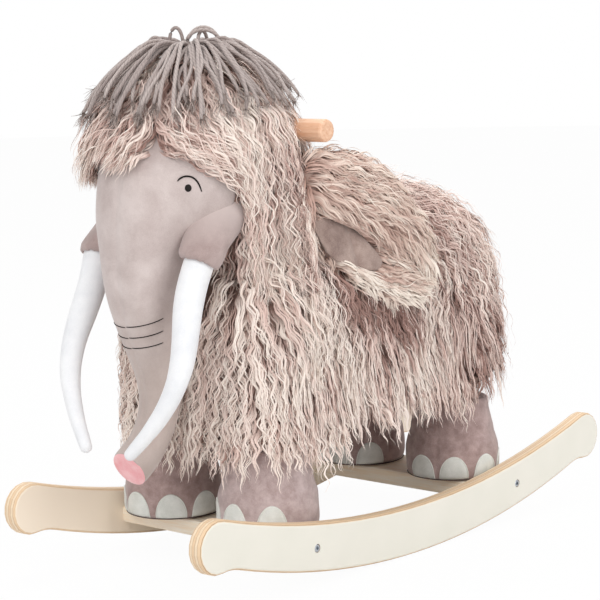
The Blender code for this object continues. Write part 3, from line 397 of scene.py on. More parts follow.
def twisted_yarn():
    """Soft grey plies wound round each cord, each cord in its own tone."""
    made, wires = new_finish("grey_yarn")
    where = wires.where()
    across, along, _ = wires.split(where)
    column = wires.times(across, YARN_TONES)
    tone = wires.math("DIVIDE", wires.math("FLOOR", column), YARN_TONES)
    wind = wires.plus(wires.times(wires.math("FRACT", column), 3.0), wires.times(along, 24.0))
    ply = wires.math("ABSOLUTE", wires.minus(wires.times(wires.math("FRACT", wind), 2.0), 1.0))
    fuzz = wires.noise(wires.stretched(where, 90.0, 60.0, 1.0), 5.0, 3.0, 0.7)
    colour = wires.mix(tone, "9E908C", "BFB2AD")
    # Painted shade: the grooves between the wound plies are darkened.
    colour = wires.mix(wires.between(ply, 0.72, 1.0, 0.0, 0.75), colour, "6E605D")
    colour = wires.mix(wires.between(fuzz, 0.45, 0.75, 0.0, 0.5), colour, "CBC0BA")
    height = wires.minus(wires.times(fuzz, 0.4), ply)
    wires.surface(
        base_color=colour, roughness=0.85, normal=wires.bump(height, 0.6, 0.0006),
        sheen_weight=0.3, specular_ior_level=0.2,
    )
    return made


GROUPS = {"nap": make_nap_group(), "grain": make_grain_group(), "strand": make_strand_group()}
FINISHES = {
    "ply": painted_plywood(),
    "beech": wood("beech", "FFF6E6", "FCE6C8", 0.45),
    "handle_beech": wood("handle_beech", "F2CBAD", "E0AC89", 0.5),
    "hidden_wood": wood("hidden_wood", "D9BE98", "BC966B", 0.6),
    "steel": steel(),
    # Painted light and shade: the legs' one velour comes as a lighter lit copy and a darker shaded copy.
    "leg": velour("leg_velour", "C6B3B1", "A6918E", 80.0),
    "shaded_leg": velour("shaded_leg_velour", "BAA29E", "977F7B", 80.0),
    # Painted shade: the face's velour darkens towards the bottom of the trunk.
    "face": velour("face_velour", "D2C5C1", "B8A8A4", 26.0, upper=("B3A399", 0.33, 0.22, 0.5)),
    # Painted shade: the cheeks' velour is darker than the face's for the shade they sit in, and painted light brings
    # their tops up to the face's colour.
    "cheek": velour("shaded_cheek_velour", "B9A5A1", "9E8A86", 40.0, upper=("CDBFBB", 0.376, 0.414, 0.85)),
    "lining": velour("lining_velour", "B8A298", "866F67", 36.0),
    "nail": velour("nail_felt", "E6E6E1", "D2D3CC", 60.0, sheen=0.1),
    "tusk": velour("white_plush", "F4F4F5", "E6E7EA", 30.0, sheen=0.2),
    "pink": velour("pink_felt", "F8C6C8", "EFA3A8", 70.0),
    "skin": velour("fur_backing", "9C8378", "836A60", 60.0),
    "fur": fibres("mammoth_fur", "906D63", "CFAEA4", "F1D9CF", "FFF4EA", 0.08),
    "ear_fur": fibres("ear_fur", "8E6A5E", "CFAEA1", "EAD2C4", "FFF4E8", 0.08),
    "yarn": twisted_yarn(),
    "stitch": velour("nail_stitching", "F2F2ED", "DCDDD6", 200.0, sheen=0.1),
    "piping": velour("sole_piping", "5D4B47", "463835", 90.0, sheen=0.1),
    "yarn_ends": fibres("yarn_fibres", "74655D", "8B7B74", "A39590", "C4B9B3"),
    "thread": velour("black_thread", "2A2624", "1C1918", 90.0, sheen=0.0),
}


# Helpers for pieces

def pick(*objects):
    bpy.ops.object.select_all(action="DESELECT")
    for o in objects:
        o.select_set(True)
    bpy.context.view_layer.objects.active = objects[-1]


def apply_all(piece):
    pick(piece)
    for modifier in list(piece.modifiers):
        bpy.ops.object.modifier_apply(modifier=modifier.name)


def apply_place():
    bpy.ops.object.transform_apply(location=True, rotation=True, scale=True)


def modified(piece, kind, **settings):
    modifier = piece.modifiers.new(kind.lower(), kind)
    for name, value in settings.items():
        setattr(modifier, name, value)


def refined(piece, levels):
    modified(piece, "SUBSURF", levels=levels, render_levels=levels)
    apply_all(piece)


def node_copy(name, *nodes):
    """One new piece with these CAD nodes' meshes in it, each vertex only once."""
    shape = bmesh.new()
    for node in nodes:
        shape.from_mesh(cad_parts[node].data)
    bmesh.ops.remove_doubles(shape, verts=shape.verts, dist=1e-5)
    mesh = bpy.data.meshes.new(name)
    shape.to_mesh(mesh)
    shape.free()
    return new_piece(name, mesh)


def read_rows(items, key, kind=np.float32):
    values = np.empty(len(items) * 3, kind)
    items.foreach_get(key, values)
    return values.reshape(-1, 3)


def points_of(piece):
    return read_rows(piece.data.vertices, "co").astype(float)


def normals_of(piece):
    return read_rows(piece.data.vertex_normals, "vector").astype(float)


def faces_of(piece):
    piece.data.calc_loop_triangles()
    return read_rows(piece.data.loop_triangles, "vertices", np.int32)


def move_points(piece, points):
    piece.data.vertices.foreach_set("co", points.astype(np.float32).ravel())
    piece.data.update()


def surface_tree(piece):
    return BVHTree.FromObject(piece, bpy.context.evaluated_depsgraph_get())


def smooth_faces(piece):
    pick(piece)
    bpy.ops.object.shade_smooth()
    return piece


def face_outwards(piece):
    pick(piece)
    bpy.ops.object.mode_set(mode="EDIT")
    bpy.ops.mesh.select_all(action="SELECT")
    bpy.ops.mesh.remove_doubles(threshold=1e-6)
    bpy.ops.mesh.normals_make_consistent(inside=False)
    bpy.ops.object.mode_set(mode="OBJECT")
    return piece


def skinned(piece, voxel, smooth, sink=0.0):
    """Remeshes a piece to an even skin, smooths it and moves it inwards by sink."""
    modified(piece, "REMESH", mode="VOXEL", voxel_size=voxel)
    modified(piece, "SMOOTH", factor=0.5, iterations=smooth)
    apply_all(piece)
    if sink:
        move_points(piece, points_of(piece) - normals_of(piece) * sink)


def cover(piece, finish):
    piece.data.materials.clear()
    piece.data.materials.append(FINISHES[finish])


def dress(piece, finish, body=ROOT, replaces=()):
    """Gives a piece its material and body, and hides the model's parts that it stands in for."""
    cover(piece, finish)
    if body:
        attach(piece, body)
    if replaces:
        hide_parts(*replaces)


def finish_wood_and_steel():
    finishes = (
        (("bolt", "nut", "pin", "screw"), "steel"), (("rocker_",), "ply"), (("handle",), "handle_beech"),
        (("_slat",), "beech"), (("seat_board", "_post"), "hidden_wood"),
    )
    for name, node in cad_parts.items():
        for words, finish in finishes:
            if any(word in name for word in words):
                cover(node, finish)
                break


# Fur

STRAND_STEPS = 16
HANG_BELOW = 0.190
WIDEST_HAIR = 0.1645
TONES = 64
BODY_GUIDES, HEAD_GUIDES, EAR_GUIDES, EAR_BACK_GUIDES, TAIL_GUIDES = 4300, 2700, 520, 170, 60
BODY_STRANDS, HEAD_STRANDS, EAR_STRANDS, EAR_BACK_STRANDS, TAIL_STRANDS = 7, 8, 9, 7, 6
Style = namedtuple("Style", "short wave jitter swing bounce gather spread layer stray thin thick")
BODY_STYLE = Style(0.58, 0.0215, 0.16, 0.0029, 0.0019, 0.80, 0.0066, 0.0070, 0.06, 0.0011, 0.0024)
HEAD_STYLE = BODY_STYLE._replace(wave=0.026, swing=0.0032, layer=0.0078)
EAR_STYLE = BODY_STYLE._replace(short=0.6, swing=0.0018, layer=0.0040, spread=0.0055, wave=0.028)
EAR_BACK_STYLE = EAR_STYLE._replace(bounce=0.0004, layer=0.0012, stray=0.0, swing=0.0016)
TAIL_STYLE = BODY_STYLE._replace(spread=0.003, layer=0.002, swing=0.0016)
# How low the fur hangs along y: lower on the chest and behind the front legs, higher between the legs
FUR_EDGE = (
    (-0.260, -0.225, -0.190, -0.165, -0.145, -0.118, -0.100, -0.060, -0.030, 0.010, 0.066, 0.110, 0.156, 0.200, 0.270),
    (0.136, 0.140, 0.138, 0.124, 0.129, 0.147, 0.160, 0.162, 0.160, 0.158, 0.156, 0.153, 0.158, 0.160, 0.164),
)
# How low it hangs round the face, along y at the sides and along x on the brow
FACE_EDGE = (
    (-0.320, -0.311, -0.299, -0.2927, -0.2737, -0.2615, -0.242, -0.234, -0.229),
    (0.474, 0.475, 0.4720, 0.4685, 0.4550, 0.4400, 0.4270, 0.3954, 0.350),
)
BROW_EDGE = (
    (-0.085, -0.058, -0.046, -0.030, 0.0, 0.015, 0.026, 0.034, 0.038, 0.046),
    (0.430, 0.438, 0.458, 0.465, 0.462, 0.456, 0.453, 0.456, 0.465, 0.470),
)


def unit(vectors):
    return vectors / np.maximum(np.linalg.norm(vectors, axis=-1, keepdims=True), 1e-9)


def soft_noise(points, scale, seed, waves=9):
    """Smooth values between -1 and 1 over space, from a few seeded waves."""
    rng = np.random.default_rng(seed)
    total = np.zeros(len(points))
    for _ in range(waves):
        way = rng.normal(size=3)
        way *= rng.uniform(0.6, 1.6) * 2 * math.pi / scale / np.linalg.norm(way)
        total += np.sin(points @ way + rng.uniform(0, 2 * math.pi))
    return np.clip(total / math.sqrt(waves), -1.6, 1.6) / 1.6


def redrawn(rng, values, where, low, high):
    return np.where(where, rng.uniform(low, high, len(values)), values)


def allowed_faces(piece, allowed):
    points, normals, faces = points_of(piece), normals_of(piece), faces_of(piece)
    return points, normals, faces[allowed(points[faces].mean(1), normals[faces].mean(1))]


def outer_tree(piece, allowed):
    points, _, faces = allowed_faces(piece, allowed)
    return BVHTree.FromPolygons(points.tolist(), faces.tolist())


def scatter(piece, allowed, count, seed):
    """Even seeded roots on a piece's allowed triangles, with their smooth normals."""
    points, normals, faces = allowed_faces(piece, allowed)
    corner = points[faces]
    area = np.linalg.norm(np.cross(corner[:, 1] - corner[:, 0], corner[:, 2] - corner[:, 0]), axis=1) / 2
    rng = np.random.default_rng(seed)
    picked = rng.choice(len(faces), size=count * 3, p=area / area.sum())
    first, second = rng.random(count * 3), rng.random(count * 3)
    fold = first + second > 1
    first[fold], second[fold] = 1 - first[fold], 1 - second[fold]
    weights = np.stack([1 - first - second, first, second], 1)[:, :, None]
    roots = (corner[picked] * weights).sum(1)
    out = (normals[faces[picked]] * weights).sum(1)
    out /= np.linalg.norm(out, axis=1)[:, None]
    keep = spread_out(roots, math.sqrt(area.sum() / count) * 0.78)[:count]
    return roots[keep], out[keep]


def spread_out(points, gap):
    """Drops points that lie nearer than gap to one already kept."""
    cells, kept = {}, []
    for k, point in enumerate(points):
        cell = tuple((point // gap).astype(int))
        near = (
            cells.get((cell[0] + a, cell[1] + b, cell[2] + c), ())
            for a in (-1, 0, 1) for b in (-1, 0, 1) for c in (-1, 0, 1)
        )
        if all(((points[m] - point) ** 2).sum() > gap * gap for group in near for m in group):
            cells.setdefault(cell, []).append(k)
            kept.append(k)
    return kept


def comb(tree, roots, normals, lengths, lifts, flow, steps=8, under=-0.35, weight=0.45):
    """Lays guide strands over a surface the way flow says, rising to lift, hanging where it ends or turns under."""
    guides = np.zeros((len(roots), steps + 1, 3))
    outs = np.zeros_like(guides)
    for n in range(len(roots)):
        base, out = Vector(roots[n]), Vector(normals[n])
        stride = lengths[n] / steps
        guides[n, 0], outs[n, 0] = base, out
        hanging, way = False, Vector((0, 0, -1))
        for k in range(1, steps + 1):
            falls = hanging or base.z < HANG_BELOW
            if falls:
                way = (way * (1 - weight) + Vector((0, 0, -weight))).normalized()
            else:
                way = flow(base, out)
                way = (way - out * way.dot(out)).normalized()
            ahead = base + way * stride
            near, face_out, _, away = tree.find_nearest(ahead)
            if falls:
                close = away < 0.04 and near.z < ahead.z + 0.002 and (ahead - near).dot(face_out) < 0.001
                lies = close and face_out.z > under
                base = near + face_out * 0.001 if lies else ahead
                hanging = not (lies and ahead.z > HANG_BELOW)
            else:
                hanging = away > stride * 0.55 or face_out.z < under
                base = ahead if hanging else near
            if not hanging:
                out = (out * 0.6 + face_out * 0.4).normalized()
            level = Vector((out.x, out.y, max(out.z, -0.05))).normalized()
            guides[n, k] = base + level * lifts[n] * (k / steps) ** 0.75
            outs[n, k] = level
    return guides, outs


def smooth_lines(lines, count):
    """Reads lines of points at count even steps, on a smooth curve through them."""
    last = lines.shape[1] - 1
    place = np.linspace(0, last, count)
    k = np.minimum(place.astype(int), last - 1)
    t = (place - k)[None, :, None]
    before = lines[:, np.maximum(k - 1, 0)]
    here, after = lines[:, k], lines[:, k + 1]
    beyond = lines[:, np.minimum(k + 2, last)]
    return 0.5 * (
        2 * here + (after - before) * t + (2 * before - 5 * here + 4 * after - beyond) * t**2
        + (3 * here - before - 3 * after + beyond) * t**3
    )


def cut_shares(guides, outside, seed, least=0.25, vary=0.05):
    """How much of each guide is left before it enters the space that outside marks."""
    inside = outside(smooth_lines(guides, 41))
    first = np.where(inside.any(1), inside.argmax(1), 40) / 40
    rng = np.random.default_rng(seed)
    return np.clip(first * (1 + rng.normal(0, vary, len(guides)) * (first < 1)), least, 1.0)


def lock_lines(guides, outs, lengths, per_guide, style, seed, cuts=1.0, tones=0.52):
    """Wavy strands round each guide: their middle lines, width directions, half widths and tones."""
    rng = np.random.default_rng(seed)
    groups, fine = len(guides), 40
    count = groups * per_guide

    def each(values):
        return np.repeat(values, per_guide, axis=0)

    rank = np.tile(np.arange(per_guide), groups)
    offset = 2 * ((rank / per_guide + each(rng.random(groups))) % 1.0) - 1
    dome = 1 - offset**2
    share = 1.03 - (1 - style.short) * np.abs(offset) ** 1.4 + rng.normal(0, 0.05, count)
    share = share * each(np.broadcast_to(cuts, groups))
    long = each(lengths) * share
    s = np.linspace(0, 1, STRAND_STEPS + 1)
    place = np.minimum(s * np.minimum(share, 1.0)[:, None], 0.9999) * (fine - 1)
    k = place.astype(int)
    t = (place - k)[:, :, None]
    rows = np.arange(count)[:, None]

    def read(values):
        return values[rows, k] * (1 - t) + values[rows, np.minimum(k + 1, fine - 1)] * t

    line, out = read(each(smooth_lines(guides, fine))), unit(read(each(unit(smooth_lines(outs, fine)))))
    along = unit(np.gradient(line, axis=1))
    side = unit(np.cross(along, out))
    root = line[:, 0]
    phase = (
        2 * math.pi * 1.1 * soft_noise(root, 0.055, seed + 1) + rng.normal(0, style.jitter, count)
        + each(rng.normal(0, 0.45, groups)) - 2 * math.pi * root[:, 2] / style.wave
    )
    wave = style.wave * each(rng.uniform(0.95, 1.05, groups)) * rng.uniform(0.99, 1.01, count)
    reach = long[:, None] * s
    turn = 2 * math.pi * reach / wave[:, None] + phase[:, None]
    grow = np.minimum(reach / 0.014, 1.0) * (1 - 0.25 * s)
    swing = style.swing * each(rng.uniform(0.45, 1.35, groups)) * rng.uniform(0.85, 1.15, count)
    sideways = swing[:, None] * grow * np.sin(turn)
    outwards = style.bounce * (swing / style.swing)[:, None] * grow * np.cos(turn * 0.93 + 0.6)
    start_side = offset * style.spread * rng.uniform(0.9, 1.1, count)
    start_along = rng.uniform(-1, 1, count) * style.spread * 0.6
    start_out = (dome * each(rng.uniform(0.5, 1.15, groups)) + rng.uniform(-0.12, 0.08, count)) * style.layer
    stray = (rng.random(count) < style.stray) & (rank > 0)
    start_out = start_out + stray * rng.uniform(0.2, 1.0, count) * style.layer * 1.6
    bend = rng.normal(0, 1, count) * (0.0016 + 0.009 * stray) + each(rng.normal(0, 0.0035, groups))
    gathered = start_side[:, None] * (1 - style.gather * s**1.6)
    line = line + side * (gathered + sideways + bend[:, None] * s**1.6)[:, :, None]
    risen = np.maximum(start_out[:, None] * np.minimum(s * 3, 1), 0)
    line = line + out * (risen + outwards + 0.0005)[:, :, None]
    line = line + along[:, :1] * start_along[:, None, None]
    twist = (rng.normal(0, 0.22, count) - 0.75 * offset)[:, None] + rng.uniform(-0.4, 0.4, count)[:, None] * s
    along = unit(np.gradient(line, axis=1))
    flat = unit(np.cross(along, out))
    rise = unit(np.cross(flat, along))
    across = flat * np.cos(twist)[:, :, None] + rise * np.sin(twist)[:, :, None]
    wide = rng.uniform(style.thin, style.thick, count) * np.where(stray, 0.6, 1.0)
    half = wide[:, None] / 2 * ((0.55 + 0.45 * np.minimum(s / 0.18, 1)) * (1 - s**2.6) ** 0.85 + 0.05)
    lock = each(rng.normal(0, 0.20, groups))
    # Painted shade: strands at a lock's edges get darker tones and those in its middle lighter ones, standing in for
    # the shade between locks.
    tone = (
        each(np.broadcast_to(tones, groups)) + 0.26 * soft_noise(root, 0.10, seed + 2) + lock
        + 0.46 * (dome - 0.6) + rng.normal(0, 0.10, count)
    )
    return line, across, half, np.clip(tone + 0.12 * stray, 0.0, 0.999)


def mapped_piece(name, mesh, where):
    """A smooth piece with this mesh and map."""
    mesh.uv_layers.new(name=MAP).data.foreach_set("uv", where.astype(np.float32).ravel())
    mesh.polygons.foreach_set("use_smooth", np.ones(len(mesh.polygons), bool))
    return new_piece(name, mesh)


def ribbon_piece(name, line, across, half, tone):
    """A piece of many tapered ribbons, with tone and root-to-tip kept in its map."""
    count, rows = half.shape
    shift = across * half[:, :, None]
    points = np.stack([line - shift, line + shift], 2).reshape(-1, 3)
    low = (np.arange(count)[:, None] * rows + np.arange(rows - 1)).reshape(-1) * 2
    corners = np.stack([low, low + 1, low + 3, low + 2], 1).ravel()
    mesh = bpy.data.meshes.new(name)
    mesh.vertices.add(len(points))
    mesh.vertices.foreach_set("co", points.astype(np.float32).ravel())
    mesh.loops.add(len(corners))
    mesh.loops.foreach_set("vertex_index", corners.astype(np.int32))
    mesh.polygons.add(len(low))
    mesh.polygons.foreach_set("loop_start", np.arange(0, len(corners), 4, dtype=np.int32))
    mesh.polygons.foreach_set("loop_total", np.full(len(low), 4, np.int32))
    mesh.update(calc_edges=True)
    column = (np.floor(tone * TONES) + 0.5) / TONES
    u = np.repeat(column, rows)[:, None] + np.array([-0.36, 0.36]) / TONES
    v = np.tile(np.linspace(0.01, 0.99, rows), count)[:, None] * np.ones(2)
    return mapped_piece(name, mesh, np.stack([u.reshape(-1), v.reshape(-1)], 1)[corners])


def split_fur(masks, locks):
    for name, mask in masks.items():
        dress(ribbon_piece(name, *chosen(mask, *locks)), "fur")


def exposed(tree, roots, outs, reach, start=0.002):
    """Which roots have nothing of this tree straight above them."""
    rays = ((Vector(root), Vector(out)) for root, out in zip(roots, outs))
    return np.array([tree.ray_cast(root + out * start, out, reach)[0] is None for root, out in rays])


def node_tree_of(*nodes):
    piece = node_copy("probe", *nodes)
    tree = surface_tree(piece)
    bpy.data.objects.remove(piece)
    return tree


def ear_depth(z):
    """How far out an ear's inner face lies at a height."""
    return EAR_INNER + EAR_LEAN * (EAR_TOP - z)


def clear_of_ears(line):
    """Presses strands that lie under an ear flat against the body, so that the ear has its room."""
    x, y, z = line[..., 0], line[..., 1], line[..., 2]
    top, bottom = np.interp(y, EAR_YS, EAR_HIGHS), np.interp(y, EAR_YS, EAR_LOWS)
    within = (
        np.clip((y - (EAR_YS[0] - 0.004)) / 0.006 + 1, 0, 1) * np.clip((EAR_YS[-1] - y) / 0.010 + 1.3, 0, 1)
        * np.clip((top - z) / 0.006 + 1, 0, 1) * np.clip((z - bottom) / 0.016 + 1, 0, 1)
    )
    excess = np.maximum(np.abs(x) - (ear_depth(z) - 0.0010), 0)
    line[..., 0] = x - np.sign(x) * excess * within * within * (3 - 2 * within)
    return line


def over_ear_roots(line):
    """Lets the hair in front of an ear fall over the ear's front edge."""
    x, y, z = np.abs(line[..., 0]), line[..., 1], line[..., 2]
    outer = ear_depth(z) + 0.0175
    share = ramp(y, -0.195, 0.02) * ramp(z, 0.475, -0.02) * ramp(z, 0.300, 0.02)
    deeper = np.minimum(x - x[:, :1], 0.008) * 0.4
    line[..., 0] = np.sign(line[..., 0]) * (x + (np.maximum(outer + deeper, x) - x) * share)
    return line


def body_flow(place, out):
    """Down the flanks, back and to the sides on top, with slow swirls."""
    x, y, z = place
    lean, top, rear = max(-1.0, min(1.0, x / 0.05)), max(0.0, out.z), part(y, -0.14, 0.12)
    swirl = (
        math.sin(y * 37 + z * 31) * 0.6 + math.sin(y * 63 - z * 71 + 1.3) * 0.6 + math.sin(x * 71 + y * 29 + 0.7) * 0.4
    )
    swirl *= 1.0 + 0.7 * part(y, 0.02, 0.06)
    down = -1.0 + 0.1 * swirl
    if y < -0.20:
        return Vector((0.16 * swirl + 0.12 * lean, 0.0, down))
    return Vector((0.75 * lean * top + 0.5 * lean * top * (1 - rear), (0.12 + 0.85 * top) * rear + 0.24 * swirl, down))


def hem_height(y):
    (y0, z0), (y1, z1) = HEM_FRONT, HEM_REAR
    return z0 + (z1 - z0) * (y - y0) / (y1 - y0)


def fur_edge(points):
    middle = np.exp(-(points[..., 0] / 0.035) ** 2) * (points[..., 1] < -0.15)
    return np.interp(points[..., 1], *FUR_EDGE) - 0.012 * middle


def above_edge(gap, least):
    """Allows faces higher than gap above the fur's edge that don't look down further than least."""
    return lambda points, normals: (points[:, 2] > fur_edge(points) + gap) & (normals[:, 2] > least)


def stands_out(line):
    """Where hair on the right side would stand out past the chest."""
    return (0.755 * line[..., 0] + 0.655 * line[..., 1] < -0.233) & (line[..., 2] < 0.36)


def make_body_and_fur():
    covered = ("torso_fur_cover", "torso_filling", "belly_panel")
    base = node_copy("body_stuffing", *covered)
    skinned(base, 0.006, 4, FUR_BACKING_DEPTH)
    points = points_of(base)
    rump = 0.0050 * ramp(points[:, 1], 0.06, 0.12) * ramp(np.abs(points[:, 0]), 0.030, 0.05)
    points -= normals_of(base) * rump[:, None]
    hem = hem_height(points[:, 1])
    low = ramp(points[:, 2], 0.22, hem - 0.22)
    points[:, 2] += low * np.maximum(fur_edge(points) + 0.016 - hem - 0.004, 0)
    move_points(base, points)
    smooth_faces(base)
    dress(base, "skin", replaces=covered)

    roots, outs = scatter(base, above_edge(0.014, -0.7), BODY_GUIDES, 11)
    roots, outs = chosen(exposed(node_tree_of("head_filling"), roots, outs, 0.004), roots, outs)
    rng, count = np.random.default_rng(12), len(roots)
    x, y, up = np.abs(roots[:, 0]), roots[:, 1], outs[:, 2]
    lengths, lifts = rng.uniform(0.056, 0.084, count), rng.uniform(0.004, 0.0135, count)
    flatter = 1 - 0.5 * ramp(y, 0.06, 0.08)
    lifts = np.where((up > 0.3) | (y > 0.20), rng.uniform(0.006, 0.022, count) * flatter, lifts)
    lifts = redrawn(rng, lifts, (y < 0.025) & (up > 0.35), 0.012, 0.032)
    lifts = redrawn(rng, lifts, (x < 0.045) & (y > 0.20), 0.010, 0.022)
    lifts = redrawn(rng, lifts, (y < -0.035) & (up > 0.35), 0.018, 0.042)
    guides, ways = comb(outer_tree(base, above_edge(0.010, -0.80)), roots, outs, lengths, lifts, body_flow)
    droop = 0.014 + 0.016 * soft_noise(roots * np.array([1, 1, 0.25]), 0.036, 15) + rng.uniform(-0.010, 0.014, count)
    cuts = cut_shares(guides, lambda line: line[:, :, 2] < fur_edge(line) - droop[:, None], 14, vary=0.06)
    y, up, guides, ways, lengths, cuts = chosen(cuts > 0.58, y, up, guides, ways, lengths, cuts)
    tones = 0.57 + 0.09 * np.clip(-y / 0.1, -1.3, 1) - 0.15 * ramp(y, 0.01, 0.07)
    # Painted shade: body strands hanging just under the ear and just behind it get darker tones, standing in for the
    # ear's shadow.
    y, z = guides[:, 4, 1], guides[:, 4, 2]
    below = np.abs(z - np.interp(y, EAR_YS, EAR_LOWS) + 0.018)
    painted_shade_under_ear = np.clip(1.25 - below / 0.030, 0, 1) * ramp(y, -0.150, 0.03) * ramp(y, 0.040, -0.03)
    painted_shade_behind_ear = np.clip(1.3 - np.abs(y - 0.056) / 0.026, 0, 1) * ramp(z, 0.275, 0.02) * ramp(z, 0.415, -0.03)
    tones = tones - 1.10 * np.maximum(painted_shade_under_ear, 0.55 * painted_shade_behind_ear)
    line, *rest = lock_lines(guides, ways, lengths, BODY_STRANDS, BODY_STYLE, 13, cuts, tones)
    line = clear_of_ears(line)
    within = ~((np.abs(line[..., 0]) > WIDEST_HAIR) | stands_out(line)).any(1)
    *locks, up = chosen(within, line, *rest, np.repeat(up, BODY_STRANDS))
    x, y, back = locks[0][:, 0, 0], locks[0][:, 0, 1], up > 0.72
    masks = {"back_fur": back, "chest_fur": (y < -0.185) & ~back, "rump_fur": (y > 0.205) & ~back}
    flank = ~np.any(list(masks.values()), axis=0)
    for side, sign in SIDES:
        for place, lower, upper in (("front", -1.0, -0.055), ("middle", -0.055, 0.075), ("rear", 0.075, 1.0)):
            masks[f"flank_fur_{side}_{place}"] = flank & (np.sign(x) == sign) & (y >= lower) & (y < upper)
    split_fur(masks, locks)
    return base


def head_flow(place, out):
    """Outwards over the crown, apart at the parting on the brow, along the face's edge, then straight down."""
    x, y, z = place
    spot = place - HEAD_MIDDLE
    swirl = math.sin(y * 61 + z * 43 + x * 20) * 0.5 + math.sin(z * 97 + x * 57) * 0.4
    side = 1.0 if x >= 0 else -1.0
    back = 0.26 * part(y, -0.225, 0.03) * part(z, 0.45, -0.04)
    if z < 0.385 or abs(x) > 0.104:
        return Vector((0.55 * side, back + 0.06 * swirl, -1.0))
    down = Vector((0.25 * side * max(0.0, out.z), 0.08 * swirl, -1.0))
    down.y += back
    over = Vector((spot.x, spot.y, 0)).normalized() * 1.2 + Vector((0, 0, -0.6))
    if x > 0.036:
        above = part(z - float(np.interp(y, *FACE_EDGE)), 0.012, 0.035)
        slope = 0.12 * swirl
        sweep = Vector((1.0, 0.1, -0.50 + slope)).lerp(Vector((0.4, 0.8, -0.62 + slope)), part(x, 0.050, 0.030))
        sweep = sweep.lerp(Vector((0.35, 0.35, -1.0)), 0.8 * above)
    else:
        sweep = Vector((-0.70 + 0.3 * swirl, 0.0, -0.95 + 0.35 * swirl))
        sweep = sweep.lerp(Vector((-0.35, 0.12, -1.0 + 0.1 * swirl)), part(x, 0.036, -0.090))
    falling = Vector((0.15 * swirl + 2.0 * spot.x, 0, -1.0))
    low = down.lerp(falling.lerp(sweep, part(z, 0.508, -0.018)), part(y, -0.225, -0.025))
    return low.lerp(over + Vector((0.1 * swirl, 0.1 * swirl, 0)), part(z, 0.515, 0.030))


def over_face(line, slack):
    """Where strands would hang over the velour: below the edge of the fur round the face."""
    x, y, z = line[..., 0], line[..., 1], line[..., 2]
    edge = np.where(x > 0.040, np.interp(y, *FACE_EDGE), np.interp(x, *BROW_EDGE))
    return (y < -0.229) & (z < edge - slack)


def ball(name, middle, half, segments=64, rings=40):
    """A ball built point by point, so that its faces keep one order and its fur falls alike at each run."""
    turn = 2 * math.pi * np.arange(segments) / segments
    fall = math.pi * np.arange(1, rings)[:, None] / rings
    round_it = np.stack([np.sin(fall) * np.cos(turn), np.sin(fall) * np.sin(turn), np.cos(fall) + 0 * turn], -1)
    points = np.concatenate([[[0, 0, 1.0]], round_it.reshape(-1, 3), [[0, 0, -1.0]]])
    points, last, faces = points * np.array(half) + np.array(middle), len(points) - 1, []
    for n in range(segments):
        after = (n + 1) % segments
        for low in range(1, last - segments, segments):
            faces.append((low + n, low + segments + n, low + segments + after, low + after))
        faces.extend(((0, 1 + n, 1 + after), (last - segments + n, last, last - segments + after)))
    mesh = bpy.data.meshes.new(name)
    mesh.from_pydata(points.tolist(), [], faces)
    mesh.update()
    return new_piece(name, mesh)


